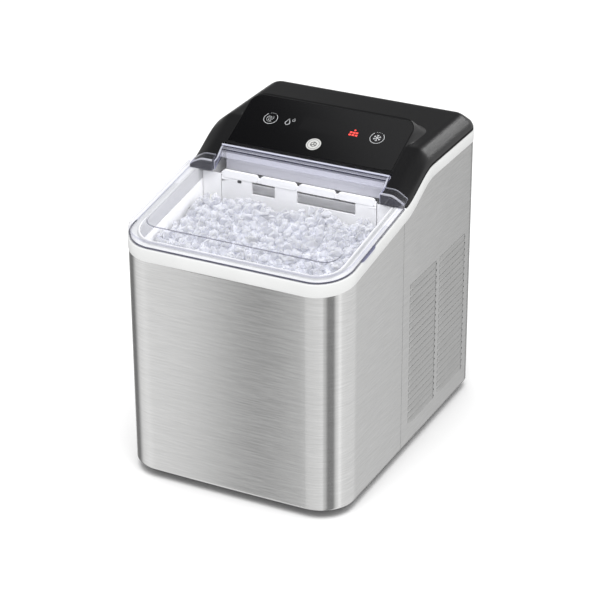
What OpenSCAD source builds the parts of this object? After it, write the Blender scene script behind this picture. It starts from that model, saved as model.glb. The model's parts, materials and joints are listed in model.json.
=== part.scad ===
// Countertop ice maker with a clear sloping lid and a raised control console.
// Lengths are in millimetres. X is across, Y runs from the front to the rear, Z is up.
// Modules are written with y = 0 at the front face; from_front() moves them so that
// the origin is the middle of the footprint on the surface the feet stand on.

/* [Body] */
// Overall width
body_w = 225; // [215:1:240]
// Overall depth
body_d = 308; // [300:1:320]
// Height of the rubber feet
foot_h = 9; // [8:0.5:12]
// Corner radius at the front, seen from above
front_r = 34; // [28:1:38]
// Corner radius at the rear, seen from above
rear_r = 20; // [16:1:24]
// Thickness of the steel panels
steel_t = 1; // [0.8:0.1:1.2]

/* [Deck] */
// Height of the top edge of the steel at the front
steel_front_z = 223.4; // [218:0.2:228]
// Height of the top edge of the steel at the rear
steel_rear_z = 266.7; // [262:0.1:270]
// Slope of the deck under the lid, in degrees
deck_angle = 8.95; // [8:0.05:10]
// Height of the light band at the front
band_front_h = 12.6; // [11:0.1:14]
// Height of the light band at the rear
band_rear_h = 11.5; // [10:0.1:13]

/* [Console] */
// Height of the flat top of the rear cover
cover_top_z = 288.6; // [286:0.2:292]
// Slope of the control panel, in degrees
console_angle = 26; // [24:0.5:28]
// Half width of the control panel
console_half_w = 86.5; // [84:0.5:87]
// Wall thickness of the mouldings
wall_t = 2.4; // [2:0.1:3]

/* [Lid] */
// Height of the lid above the band
lid_h = 9; // [8:0.5:10]
// Wall thickness of the lid
lid_t = 2.2; // [1.8:0.1:2.6]
// Radius of the lid's hinge pins
lid_pin_r = 2; // [1.8:0.1:2.2]

/* [Ice bin] */
// Height of the basket's floor
basket_floor_z = 122; // [118:1:126]
// Height of the basket's rim
basket_rim_z = 204; // [198:1:205]
// Inner radius of the freezing trough
tray_r = 15.5; // [15:0.1:16]
// Number of freezing fingers
finger_count = 9; // [7:1:9]

/* [Cooling] */
// Radius of the compressor's shell
compressor_r = 48; // [44:1:49]
// Radius of the fan over its blades
fan_r = 46; // [42:1:47]
// Rows of louvers in each column
louver_rows = 22; // [18:1:22]

/* [Hidden] */
$fn = 64;

// Clearances
gap = 0.3;
running_gap = 0.05;
tiny = 0.01;
// Span of the ramp between the deck and the flat rear, for the steel and for the band
steel_ramp = [142, 200];
band_ramp = [141, 198];
// How far the steel stands back from the footprint
steel_in = 0.4;
// Where the side panels start, and where the rear cover's cheeks start
panel_seam_y = 134.5;
cheek_y = 139;
// Flat rear panel between the side panels: half width, power inlet and rows of vents
rear_half = body_w / 2 - rear_r - 1 - gap;
inlet_at = [-60, 40];
inlet_size = [34, 26];
vent_rows = 12;
vent_size = [60, 3];
vent_at = [40, 90];
vent_pitch = 10;
// Base tray, and the feet with their screws
base_inset = 2;
base_wall_z = 26;
base_t = 2.5;
foot_at = [84, 26];
foot_r = 9;
screw_r = 1.6;
screw_head_r = 3.4;
// Mouth of the ice bin, and the opening in the frame under the cover
mouth_x = 100.5;
mouth_y = [11, 196];
mouth_r = 23;
mouth_lip = 2.6;
under_cover_y = 204;
frame_w = 6;
// Control panel: lower front edge and the length of its glass up the slope
console_y = 164;
console_z = 279.2;
glass_len = 63;
glass_t = 2.2;
glass_r = 11;
console_top_y = 224;
console_foot_y = 248;
console_r = 14;
// Rear cover: half width, side crease, bevel and the cross sections along the depth
cover_half = body_w / 2 - 0.7;
crease_in = 1.5;
crease_h = [1.5, 5.2];
crease_run = 42;
bevel_w = 14;
bevel_drop = 0.5;
cheek_in = 87.2;
cover_stations = concat([cheek_y, 146, 153], [for (i = [0:8]) 158 + 5 * i], [240, 280],
    [for (a = [0:15:90]) body_d - rear_r - 0.7 + (rear_r - 1) * sin(a)]);
// Touch springs: place on the panel
touch_at = [55.3, 36];
// Hinge line of the lid
lid_axis = [152, 270];
lid_end_y = 146;
lid_back = [157.2, 278.3];
lid_inset = 0.8;
riser_t = 2.4;
riser_half = 86.4;
wing_half = 109;
finger_tab_y = [46, 73];
// Inner liner: outside, with the lower tub in front of the ice chute
liner_x = 103;
liner_y = [8.5, 140, 199];
liner_z = [30, 206, 222];
liner_t = 2.2;
liner_r = 25;
// Freezing trough: axis and length
tray_axis = [175.5, 244];
tray_len = 152;
tray_wall = 2;
tray_end_t = 3;
tray_pin_r = 3;
finger_r = 3.5;
// Ice shovel: axis and half length
shovel_axis = [146, 250];
shovel_half = 80;
shovel_pin_r = 1.8;
shovel_t = 2;
barrel_r = 3.4;
barrel_len = 8;
tab_count = 4;
tab_gap = 3;
tab_z = [246, 259];
tab_r = 3;
blade_z = [223.5, 249];
blade_windows = [[-48, -24], [-1, 59]];
window_z = [239, 247.5];
// Evaporator
evaporator_z = 260;
finger_pitch = 15.5;
finger_drop = 9;
// Basket: outside
basket_x = 94;
basket_y = [16, 126];
basket_t = 1.8;
// Pump, float switch and drain
pump_at = [-62, 112];
impeller_r = 10;
rotor_pin_r = 1.5;
hose_r = 3.2;
stem_r = 2.5;
float_at = [66, 112];
drain_at = [20, 26];
drain_hole_r = 11;
// Compressor, condenser and fan
compressor_at = [-52, 206];
condenser_x = [92, 107];
condenser_y = [154, 276];
condenser_z = [28, 178];
fan_at = [215, 100];
// Louver columns: first edges along the depth, their length and the lowest row
louver_y = [151, 219];
louver_len = 58;
louver_z = 31;
louver_pitch = 6.75;
louver_slot = 1.6;
// Condenser: fins and the rows of tube through them
fin_count = 26;
fin_t = 0.5;
coil_rows = 7;
coil_pitch = 21;
coil_r = 2.95;

// Height of a line that follows the deck, the ramp and the flat rear
function smooth(t) = t * t * (3 - 2 * t);
function follow(y, z0, z1, ramp) =
    y <= ramp[0] ? z0 + y * tan(deck_angle) :
    y >= ramp[1] ? z1 :
    let (s = ramp[1] - ramp[0], t = (y - ramp[0]) / s, a = z0 + ramp[0] * tan(deck_angle))
    a + (z1 - a) * smooth(t) + s * tan(deck_angle) * t * (1 - t) * (1 - t);
function steel_z(y) = follow(y, steel_front_z, steel_rear_z, steel_ramp);
function band_z(y) =
    follow(y, steel_front_z + band_front_h, steel_rear_z + band_rear_h, band_ramp);
function ramp_stations(ramp) = [for (i = [0:10]) ramp[0] + (ramp[1] - ramp[0]) * i / 10];
// Height of the inclined plane of the control panel
function console_plane(y) = console_z + (y - console_y) * tan(console_angle);

module from_front() translate([0, -body_d / 2, 0]) children();

// A side view, drawn as depth and height, made as wide as w about the middle
module across(w) rotate([90, 0, 90]) linear_extrude(w, center = true) children();

// The footprint, inset all round
module footprint(inset = 0, front = front_r, rear = rear_r) {
    w = body_w / 2 - inset;
    a = front - inset;
    b = rear - inset;
    translate([-w, front]) square([2 * w, body_d - front - rear]);
    translate([-w + a, inset]) square([2 * (w - a), front]);
    translate([-w + b, body_d - rear - tiny]) square([2 * (w - b), b + tiny]);
    for (s = [-1, 1]) {
        translate([s * (w - a), front]) circle(a);
        translate([s * (w - b), body_d - rear]) circle(b);
    }
}

// A rounded rectangle about the origin
module rounded(w, h, r) {
    square([w - 2 * r, h], center = true);
    square([w, h - 2 * r], center = true);
    for (x = [-1, 1], y = [-1, 1]) translate([x * (w / 2 - r), y * (h / 2 - r)]) circle(r);
}

// Side view of everything between a base height and the steel's top edge, from y0 to y1
module below_steel(y0, y1, z0, drop = 0) polygon(concat(
    [[y0, z0], [y0, steel_z(y0) - drop]],
    [for (y = ramp_stations(steel_ramp)) if (y > y0 && y < y1) [y, steel_z(y) - drop]],
    [[y1, steel_z(y1) - drop], [y1, z0]]));

// Side view of the band between the steel's top edge and the lid or cover
module band_side(y0, y1, low = 0, high = 0) polygon(concat(
    [[y0, steel_z(y0) + low]],
    [for (y = ramp_stations(steel_ramp)) if (y > y0 && y < y1) [y, steel_z(y) + low]],
    [[y1, steel_z(y1) + low], [y1, band_z(y1) + high]],
    [for (i = [10:-1:0]) let (y = ramp_stations(band_ramp)[i])
        if (y > y0 && y < y1) [y, band_z(y) + high]],
    [[y0, band_z(y0) + high]]));

// A bent round bar through a list of points
module bar_along(points, r) {
    for (i = [0:len(points) - 2])
        hull() {
            translate(points[i]) sphere(r, $fn = 10);
            translate(points[i + 1]) sphere(r, $fn = 10);
        }
}

// A round bar along X between two places
module x_bar(x0, x1, y, z, r) translate([x0, y, z]) rotate([0, 90, 0]) cylinder(x1 - x0, r, r);

// ---- Steel panels ----

module steel_shell(y0, y1) {
    intersection() {
        linear_extrude(steel_rear_z + 1) difference() {
            footprint(steel_in);
            footprint(steel_in + steel_t);
        }
        across(body_w) below_steel(y0, y1, foot_h);
    }
}

module front_panel() color("silver") from_front() steel_shell(0, panel_seam_y);

module louver_slots() {
    for (y = louver_y, i = [0:louver_rows - 1])
        translate([y + louver_len / 2, louver_z + louver_pitch * i])
            square([louver_len, louver_slot], center = true);
}

module side_panel(side) from_front() difference() {
    intersection() {
        steel_shell(panel_seam_y + gap, body_d);
        translate([side * body_w / 2, body_d / 2, body_d / 2])
            cube([rear_r * 2 + 2, body_d + 2, body_d * 2], center = true);
    }
    translate([side * (body_w / 2 - 1), 0, 0]) across(4) louver_slots();
}

module side_panel_left() color("silver") side_panel(-1);
module side_panel_right() color("silver") side_panel(1);

module rear_outline() difference() {
    translate([-rear_half, foot_h]) square([2 * rear_half, steel_rear_z - foot_h]);
    translate(inlet_at) square(inlet_size, center = true);
    translate(drain_at) circle(drain_hole_r);
    for (i = [0:vent_rows - 1], side = [-1, 1])
        translate([side * vent_at[0], vent_at[1] + vent_pitch * i])
            square(vent_size, center = true);
}

module rear_panel() color("gainsboro") from_front()
    translate([0, body_d - steel_in, 0]) rotate([90, 0, 0])
        linear_extrude(steel_t) rear_outline();

// ---- Base ----

module base_tray() color("black") from_front() difference() {
    translate([0, 0, foot_h]) linear_extrude(base_wall_z - foot_h) footprint(base_inset);
    translate([0, 0, foot_h + 3]) linear_extrude(base_wall_z) footprint(base_inset + base_t);
    at_feet() cylinder(30, screw_r + 0.1, screw_r + 0.1);
    translate([drain_at[0], body_d - 12, drain_at[1]]) rotate([-90, 0, 0])
        cylinder(20, drain_hole_r, drain_hole_r);
    translate([inlet_at[0], body_d - 3, inlet_at[1]])
        cube([inlet_size[0] + 1, 12, inlet_size[1] + 6], center = true);
}

module at_feet()
    for (x = [-foot_at[0], foot_at[0]], y = [foot_at[1], body_d - foot_at[1]])
        translate([x, y, 0]) children();

module foot(x, y) color("dimgray") from_front() translate([x, y, 0]) difference() {
    union() {
        cylinder(foot_h - gap, foot_r, foot_r);
        translate([0, 0, foot_h - gap]) cylinder(gap - tiny, foot_r - 3, foot_r - 3);
    }
    translate([0, 0, -1]) cylinder(4, foot_r / 2, foot_r / 2);
    translate([0, 0, -1]) cylinder(20, screw_r + 0.1, screw_r + 0.1);
}

module foot_front_left() foot(-foot_at[0], foot_at[1]);
module foot_front_right() foot(foot_at[0], foot_at[1]);
module foot_rear_left() foot(-foot_at[0], body_d - foot_at[1]);
module foot_rear_right() foot(foot_at[0], body_d - foot_at[1]);

module base_screws() color("silver") from_front() at_feet() translate([0, 0, 0.8]) {
    cylinder(2.1, screw_head_r, screw_head_r);
    cylinder(13, screw_r, screw_r);
}

// ---- Light frame around the bin ----

// A plan with rounded front corners and square rear corners
module bay(half_w, y0, y1, r) {
    translate([0, (y0 + y1) / 2]) rounded(2 * half_w, y1 - y0, r);
    translate([-half_w, y1 - 2 * r]) square([2 * half_w, 2 * r]);
}

module bin_mouth(grow = 0)
    bay(mouth_x + grow, mouth_y[0] - grow, mouth_y[1] + grow, mouth_r + grow);

// Opening in the frame under the rear cover
module cover_opening() {
    deep = body_d - under_cover_y - frame_w;
    translate([-body_w / 2 + frame_w, under_cover_y])
        square([body_w - 2 * frame_w, deep - rear_r]);
    translate([-body_w / 2 + rear_r, under_cover_y]) square([body_w - 2 * rear_r, deep]);
}

module top_frame() color("white") from_front() {
    intersection() {
        linear_extrude(body_d) difference() {
            footprint();
            bin_mouth();
            cover_opening();
        }
        across(body_w) band_side(0, body_d, tiny, -tiny);
    }
    intersection() {
        linear_extrude(body_d) difference() {
            bin_mouth(mouth_lip);
            bin_mouth();
        }
        across(body_w) band_side(0, cheek_y - 6, 2, 4);
    }
}

// ---- Inner liner and insulation ----

module liner_side(inset, top_drop) polygon(concat(
    [[liner_y[0] + inset, liner_z[0] + inset], [liner_y[1] - inset, liner_z[0] + inset],
        [liner_y[1] - inset, liner_z[1] + inset], [liner_y[2] - inset, liner_z[2] + inset],
        [liner_y[2] - inset, steel_z(liner_y[2]) - top_drop]],
    [for (i = [10:-1:0]) let (y = ramp_stations(steel_ramp)[i])
        if (y < liner_y[2] - inset) [y, steel_z(y) - top_drop]],
    [[liner_y[0] + inset, steel_z(liner_y[0] + inset) - top_drop]]));

module liner_plan(inset)
    bay(liner_x - inset, liner_y[0] + inset, liner_y[2] - inset, liner_r - inset);

module inner_liner() color("white") from_front() {
    difference() {
        intersection() {
            across(2 * liner_x) liner_side(0, gap);
            linear_extrude(body_d) liner_plan(0);
        }
        intersection() {
            across(2 * (liner_x - liner_t)) liner_side(liner_t, -20);
            linear_extrude(body_d) liner_plan(liner_t);
        }
        translate([drain_at[0], liner_y[1], liner_z[0] + 7]) rotate([90, 0, 0])
            cylinder(12, 3.5, 3.5, center = true);
    }
    // Rails that the basket stands on
    for (s = [-1, 1]) translate([s * 94, (basket_y[0] + basket_y[1]) / 2, basket_floor_z - 4])
        cube([2 * (liner_x - liner_t) - 2 * 94, 80, 8 - 2 * tiny], center = true);
}

module insulation() color("khaki") from_front() difference() {
    translate([0, 0, 27]) linear_extrude(170) intersection() {
        footprint(2.4);
        translate([-body_w, 0]) square([2 * body_w, liner_y[1] + 6]);
    }
    intersection() {
        across(2 * liner_x + 1) translate([0, -tiny]) liner_side(-0.3, 0);
        linear_extrude(body_d) liner_plan(-0.3);
    }
    translate([drain_at[0], liner_y[1], liner_z[0] + 7]) rotate([90, 0, 0])
        cylinder(24, 6.5, 6.5, center = true);
}

// ---- Rear cover with its console ----

function cover_half_at(y) = let (d = max(0, y - (body_d - rear_r - 0.7)), r = rear_r)
    cover_half - r + sqrt(max(0, r * r - d * d));
function cheek_top(y) = min(cover_top_z, console_plane(y) - bevel_drop)
    - 6 * pow(max(0, y - (body_d - 12)) / 12, 2);
// Height of the upright strip below the bevel, which starts as a point beside the lid
function crease_up(y) = let (t = max(0, min(1, (y - cheek_y) / crease_run)))
    crease_h[0] + (crease_h[1] - crease_h[0]) * t * (2 - t);
// Cross section of the cover at one place along the depth, inset by the wall
function cover_ring(y, t) =
    let (w = cover_half_at(y) - t, low = band_z(y) + (t > 0 ? -10 : 0.05),
        mid = band_z(y) + crease_up(y) - t * 0.4, top = cheek_top(y) - t)
    [[-w, low], [-w + crease_in, mid], [-w + bevel_w, top],
        [w - bevel_w, top], [w - crease_in, mid], [w, low]];

// A closed skin through cross sections that all have the same number of corners
module skin(stations, t) {
    n = len(cover_ring(stations[0], t));
    m = len(stations);
    corners = [for (y = stations) for (p = cover_ring(y, t)) [p[0], y, p[1]]];
    sides = [for (i = [0:m - 2], j = [0:n - 1]) let (k = (j + 1) % n)
        [i * n + j, (i + 1) * n + j, (i + 1) * n + k, i * n + k]];
    polyhedron(corners, concat([[for (j = [0:n - 1]) j]], sides,
        [[for (j = [n - 1:-1:0]) (m - 1) * n + j]]), convexity = 6);
}

module console_wedge(t) intersection() {
    across(2 * (console_half_w - t)) polygon([
        [console_y, console_z - 12 - t], [console_y, console_z - t * 1.1],
        [console_top_y - t, console_plane(console_top_y) - t * 1.1],
        [console_top_y + 3 - t, console_plane(console_top_y) - t * 1.1],
        [console_foot_y - t, cover_top_z - t], [console_foot_y - t, cover_top_z - 12]]);
    linear_extrude(body_d * 2) translate([0, (console_foot_y + 100) / 2])
        rounded(2 * (console_half_w - t), console_foot_y - 100 - 2 * t, console_r - t);
}

// Moves a shape drawn flat onto the control panel's slope
module on_console() translate([0, console_y, console_z]) rotate([console_angle, 0, 0])
    children();

module glass_outline(grow = 0) translate([0, glass_len / 2])
    rounded(2 * (console_half_w - 2 + grow), glass_len + 2 * grow, glass_r + grow);

module glass_shape(grow = 0) {
    glass_outline(grow);
    translate([-console_half_w + 2 - grow, 1 - grow])
        square([2 * (console_half_w - 2 + grow), 14]);
}

// Everything in front of a place along the depth, as wide as twice a half width
module clear_front(half_w, y, z = 800)
    translate([0, y - z / 2, 0]) cube([2 * half_w, z, z], center = true);

module top_cover() color("#1c1c1e") from_front() difference() {
    union() {
        skin(cover_stations, 0);
        console_wedge(0);
    }
    difference() {
        union() {
            skin([for (y = cover_stations) min(y, body_d - 4)], wall_t);
            console_wedge(wall_t);
        }
        clear_front(cheek_in + wall_t, console_y + 2.9);
    }
    clear_front(cheek_in, console_y + 0.5);
    // Room below the panel's edge for the fascia
    translate([0, 100, 0]) cube([2 * (cheek_in - 0.6), 2 * 67.5, 549], center = true);
    on_console() translate([0, 0, -glass_t]) linear_extrude(20) glass_shape(gap / 2);
    on_console() translate([0, 0, -20]) linear_extrude(30)
        translate([0, 30]) square([150, 46], center = true);
}

module panel_glass() color("black") from_front() on_console() translate([0, 0, -glass_t + tiny])
    linear_extrude(glass_t) glass_shape();

// ---- Electronics under the panel ----

module display_window() color("#202020") from_front() on_console()
    translate([4, 40, -glass_t - 3]) linear_extrude(3 - tiny) rounded(46, 16, 1);

module control_board() color("darkgreen") from_front() on_console() translate([0, 32, -9]) {
    cube([140, 42, 1.6], center = true);
    translate([4, 8, 2.2]) cube([48, 18, 2.6], center = true);
    translate([-30, -10, 2]) cube([14, 14, 2.2], center = true);
    translate([40, -12, -3]) cube([22, 8, 4.2], center = true);
}

module touch_springs() color("gold") from_front() on_console()
    for (s = [-1, 1]) translate([s * touch_at[0], touch_at[1], -8.2 + tiny]) difference() {
        cylinder(6 - 2 * tiny, 5, 5);
        translate([0, 0, -1]) cylinder(8, 4.2, 4.2);
    }

module bin_fascia() color("lightgray") from_front()
    translate([0, 165.9, 262.2]) cube([173, 2.4, 24.4], center = true);

// ---- Clear lid ----

function lid_top(y) = steel_front_z + band_front_h + lid_h + y * tan(deck_angle);

// Side view of the lid's skirt and plate, or with t of the room inside them
module lid_side(t) {
    low = t > 0 ? -30 : 0.2;
    polygon([
        [lid_inset + t, band_z(0) + low], [lid_inset + t, lid_top(0) - 2.5 - t * 0.7],
        [3.5 + t * 0.7, lid_top(3) - t], [lid_end_y, lid_top(lid_end_y) - t],
        [lid_end_y, band_z(cheek_y) + (t > 0 ? low : 0)],
        [cheek_y - gap, band_z(cheek_y) + low]]);
}

module lid_box(t) intersection() {
    across(body_w) lid_side(t);
    linear_extrude(body_d) footprint(lid_inset + t);
}

// Side view of the riser up to the lid's back edge, with its lip
module riser_side() {
    foot_y = lid_end_y - riser_t;
    polygon([[foot_y, lid_top(foot_y) - lid_t], lid_back + [0.5, -riser_t - 0.8],
        lid_back + [0.5, 0], lid_back + [-2.4, 0], [lid_end_y - 1, lid_top(lid_end_y - 1)],
        [foot_y, lid_top(foot_y)]]);
}

// Side view of an end plate, which carries a hinge bore
module lid_end_side() {
    translate(lid_axis) circle(4);
    polygon([[cheek_y - 1, band_z(cheek_y)], [cheek_y - 1, lid_top(cheek_y - 1) - 1],
        [lid_end_y - 1, lid_top(lid_end_y - 1) - 1], lid_back + [-2, -1.5],
        lid_axis + [3.4, -2], lid_axis + [0, -4]]);
}

// Wings that cap the front of the cheeks
module lid_wings() difference() {
    skin([cheek_y - lid_t - gap, cheek_y, lid_end_y], -lid_t);
    skin([cheek_y - gap, cheek_y, lid_end_y, cover_stations[2]], -gap);
    cube([2 * riser_half - 0.1, 800, 800], center = true);
    for (s = [-1, 1])
        translate([s * (wing_half + 10), cheek_y, 260]) cube([20, 40, 80], center = true);
}

module finger_tab() intersection() {
    across(body_w) polygon([
        [finger_tab_y[0], band_z(finger_tab_y[0]) + 0.2],
        [finger_tab_y[0], band_z(finger_tab_y[0]) + 2.4],
        [finger_tab_y[1], band_z(finger_tab_y[1]) + 2.4],
        [finger_tab_y[1], band_z(finger_tab_y[1]) + 0.2]]);
    translate([body_w / 2 - 3, 40, 200]) cube([3, 40, 80]);
}

module lid() color("lightblue", 0.35) from_front() difference() {
    union() {
        difference() {
            lid_box(0);
            lid_box(lid_t);
            for (s = [-1, 1]) translate([s * 100, cheek_y + 9.8, 262])
                cube([2 * 13.2, 20, 60], center = true);
            translate([0, cheek_y + 9.8, 240]) cube([190, 20, 40], center = true);
        }
        across(2 * riser_half) riser_side();
        for (s = [-1, 1]) translate([s * (riser_half - 1.5), 0, 0]) across(3) lid_end_side();
        lid_wings();
        finger_tab();
    }
    for (s = [-1, 1])
        x_bar(s > 0 ? riser_half - 4 : -riser_half - 1, s > 0 ? riser_half + 1 : -riser_half + 4,
            lid_axis[0], lid_axis[1], lid_pin_r + running_gap);
}

module lid_pin(side) color("silver") from_front()
    x_bar(side > 0 ? riser_half - 3 : -89.6, side > 0 ? 89.6 : -riser_half + 3,
        lid_axis[0], lid_axis[1], lid_pin_r);

module lid_pin_left() lid_pin(-1);
module lid_pin_right() lid_pin(1);

// ---- Basket and shovel ----

module basket_plan(inset) translate([0, (basket_y[0] + basket_y[1]) / 2])
    rounded(2 * (basket_x - inset), basket_y[1] - basket_y[0] - 2 * inset, 18 - inset);

module ice_basket() color("aliceblue") from_front() {
    difference() {
        translate([0, 0, basket_floor_z]) linear_extrude(basket_rim_z - basket_floor_z)
            basket_plan(0);
        translate([0, 0, basket_floor_z + basket_t]) linear_extrude(basket_rim_z)
            basket_plan(basket_t);
        for (i = [-4:4], j = [0:4]) translate([i * 18, 33 + j * 19, basket_floor_z])
            cube([10, 4, 10], center = true);
        for (s = [-1, 1])
            translate([s * basket_x, (basket_y[0] + basket_y[1]) / 2, basket_rim_z - 16])
                cube([12, 46, 12], center = true);
    }
    translate([0, 0, basket_rim_z - 2]) linear_extrude(2) difference() {
        basket_plan(-3);
        basket_plan(basket_t / 2);
    }
}

// Front view of the comb of rounded tabs and of the blade with its windows
module shovel_front() {
    pitch = 2 * shovel_half / tab_count;
    for (i = [0:tab_count - 1]) translate([-shovel_half + pitch * (i + 0.5), 0]) {
        translate([0, (tab_z[0] + tab_z[1]) / 2])
            rounded(pitch - tab_gap, tab_z[1] - tab_z[0], tab_r);
        translate([0, tab_z[0] + 5]) square([pitch + tiny, 10], center = true);
    }
    difference() {
        translate([-shovel_half, blade_z[0]])
            square([2 * shovel_half, blade_z[1] - blade_z[0]]);
        for (w = blade_windows) translate([w[0], window_z[0]])
            square([w[1] - w[0], window_z[1] - window_z[0]]);
    }
}

module ice_shovel() color("white") from_front() difference() {
    union() {
        translate([0, shovel_axis[0] - 1, 0]) rotate([90, 0, 0])
            linear_extrude(shovel_t) shovel_front();
        // Pivot barrels
        for (s = [-1, 1])
            x_bar(s > 0 ? shovel_half - barrel_len : -shovel_half,
                s > 0 ? shovel_half : -shovel_half + barrel_len,
                shovel_axis[0], shovel_axis[1], barrel_r);
    }
    x_bar(-100, 100, shovel_axis[0], shovel_axis[1], shovel_pin_r + running_gap);
}

module shovel_pins() color("silver") from_front() for (s = [-1, 1])
    x_bar(s > 0 ? shovel_half - 6 : -mouth_x + tiny, s > 0 ? mouth_x - tiny : -shovel_half + 6,
        shovel_axis[0], shovel_axis[1], shovel_pin_r);

// ---- Ice making ----

module evaporator() color("peru") from_front() {
    tip_z = tray_axis[1] - finger_drop;
    x_bar(-74, 74, tray_axis[0], evaporator_z, 5);
    for (i = [0:finger_count - 1])
        translate([(i - (finger_count - 1) / 2) * finger_pitch, tray_axis[0], tip_z]) {
            cylinder(evaporator_z - tip_z, finger_r, finger_r);
            sphere(finger_r);
        }
}

module evaporator_bracket() color("white") from_front() difference() {
    for (s = [-1, 1]) translate([s * 82.5, tray_axis[0] + 2.5, 252.5])
        cube([3, 19, 33], center = true);
    x_bar(-90, 90, tray_axis[0], tray_axis[1], tray_pin_r + running_gap);
}

module water_tray() color("whitesmoke") from_front() translate([0, tray_axis[0], tray_axis[1]]) {
    across(tray_len) difference() {
        circle(tray_r + tray_wall);
        circle(tray_r);
        translate([-30, -2.7]) square([60, 40]);
    }
    for (s = [-1, 1]) translate([s * (tray_len + tray_end_t) / 2, 0, 0]) across(tray_end_t)
        difference() {
            circle(tray_r + tray_wall);
            circle(tray_pin_r);
            translate([-30, 5]) square([60, 40]);
        }
}

module tray_shaft() color("silver") from_front() {
    x_bar(tray_len / 2 + tiny, 91, tray_axis[0], tray_axis[1], tray_pin_r - tiny);
    x_bar(-86, -tray_len / 2 - tiny, tray_axis[0], tray_axis[1], tray_pin_r - tiny);
}

module tray_motor() color("gray") from_front() difference() {
    x_bar(87.2, 99.4, tray_axis[0], tray_axis[1], 20);
    x_bar(80, 93, tray_axis[0], tray_axis[1], tray_pin_r + running_gap);
}

// ---- Water circuit ----

// Moves a shape onto the tub's floor
module on_tub(at, up = tiny) translate([at[0], at[1], liner_z[0] + liner_t + up]) children();

module water_pump() color("#303030") from_front() on_tub(pump_at) difference() {
    translate([-18, -17, 0]) cube([36, 34, 30]);
    translate([0, 0, -1]) cylinder(14, impeller_r + 2, impeller_r + 2);
    cylinder(24, rotor_pin_r + running_gap, rotor_pin_r + running_gap);
    translate([0, 12, 22]) rotate([-90, 0, 0]) cylinder(9, 2.5, 2.5);
}

module pump_impeller() color("white") from_front() on_tub(pump_at, 2) {
    cylinder(3, impeller_r, impeller_r);
    cylinder(20, rotor_pin_r, rotor_pin_r);
    for (a = [0:60:300]) rotate(a) translate([2, -0.5, 2.9]) cube([7, 1, 5]);
}

module water_hose() color("ivory") from_front() bar_along([
    [-62, 132.6, 54], [-74, 132.9, 62], [-88, 133.2, 80], [-88, 133.2, 212], [-90, 140, 226],
    [-92, 152, 232], [-94, 168, 240], [-90, 175.5, 244]], hose_r);

// A round bar along Y from a place on
module y_bar(at, len, r) translate(at) rotate([-90, 0, 0]) cylinder(len, r, r);

module drain_tube() color("ivory") from_front() difference() {
    union() {
        tub_z = liner_z[0] + 7;
        y_bar([drain_at[0], liner_y[1] - 2, tub_z], 12, 3.4);
        y_bar([drain_at[0], liner_y[1] + 8, tub_z], 4, 6);
        y_bar([drain_at[0], 151, drain_at[1]], body_d - 10 - 151, 6);
        translate([drain_at[0], 151, tub_z]) cube([10, 6, 12], center = true);
        translate([drain_at[0], 152, 32]) cube([10, 6, 14], center = true);
    }
    y_bar([drain_at[0], body_d - 40, drain_at[1]], 40, 4 + running_gap);
}

module drain_plug() color("black") from_front()
    translate([drain_at[0], body_d, drain_at[1]]) rotate([90, 0, 0]) {
        cylinder(8, 9.5, 9.5);
        translate([0, 0, 8]) cylinder(14, 4, 4);
        translate([0, 0, 0.2]) for (a = [0:30:330])
            rotate(a) translate([9.4, 0, 0]) cylinder(7.6, 0.7, 0.7);
    }

module float_stem() color("white") from_front() on_tub(float_at) {
    cylinder(4, 8, 8);
    cylinder(62, stem_r, stem_r);
    translate([0, 0, 8]) cylinder(3, 2 * stem_r, 2 * stem_r);
    translate([0, 0, 58]) cylinder(3, 2 * stem_r, 2 * stem_r);
}

module float_ring() color("tomato") from_front() on_tub(float_at, 11.2) difference() {
    cylinder(16, 10, 10);
    translate([0, 0, -1]) cylinder(20, stem_r + 0.4, stem_r + 0.4);
}

module ice_level_sensors() color("#404048") from_front() for (s = [-1, 1])
    x_bar(s > 0 ? liner_x - liner_t - 2 : -liner_x + liner_t,
        s > 0 ? liner_x - liner_t : -liner_x + liner_t + 2, 118, 222, 4);

// ---- Refrigeration ----

module at_compressor(up = 0)
    translate([compressor_at[0], compressor_at[1], foot_h + 3 + up]) children();

module at_mounts() for (x = [-44, 44], y = [-38, 38]) translate([x, y, 0]) children();

module compressor() color("#151515") from_front() at_compressor() {
    round = 14;
    translate([0, 0, 12]) rotate_extrude() {
        square([compressor_r - round, 118]);
        translate([0, round]) square([compressor_r, 90]);
        for (z = [round, round + 90]) translate([compressor_r - round, z]) circle(round);
    }
    translate([0, 0, 8.5]) difference() {
        cube([104, 92, 3], center = true);
        at_mounts() cylinder(6, 4, 4, center = true);
    }
    translate([0, 0, 10]) cylinder(4, 24, 24);
    translate([0, -compressor_r - 1, 90]) cube([34, 16, 40], center = true);
}

module compressor_mounts() color("#2a2a2a") from_front() at_compressor(tiny) at_mounts() {
    cylinder(7 - 2 * tiny, 7, 7);
    cylinder(12, 3.9, 3.9);
    translate([0, 0, 10.1]) cylinder(2.4, 6, 6);
}

function coil_x() = (condenser_x[0] + condenser_x[1]) / 2;
function coil_z(k) = condenser_z[0] + 12 + coil_pitch * k;

module fin_outline() difference() {
    translate([condenser_x[0], condenser_z[0]])
        square([condenser_x[1] - condenser_x[0], condenser_z[1] - condenser_z[0]]);
    for (k = [0:coil_rows - 1]) translate([coil_x(), coil_z(k)]) circle(coil_r + running_gap);
}

module condenser_fins() color("lightsteelblue") from_front() {
    first = condenser_y[0] + 14 + fin_t / 2;
    pitch = (condenser_y[1] - condenser_y[0] - 28) / (fin_count - 1);
    for (i = [0:fin_count - 1]) translate([0, first + pitch * i, 0]) rotate([90, 0, 0])
        linear_extrude(fin_t) fin_outline();
}

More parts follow.
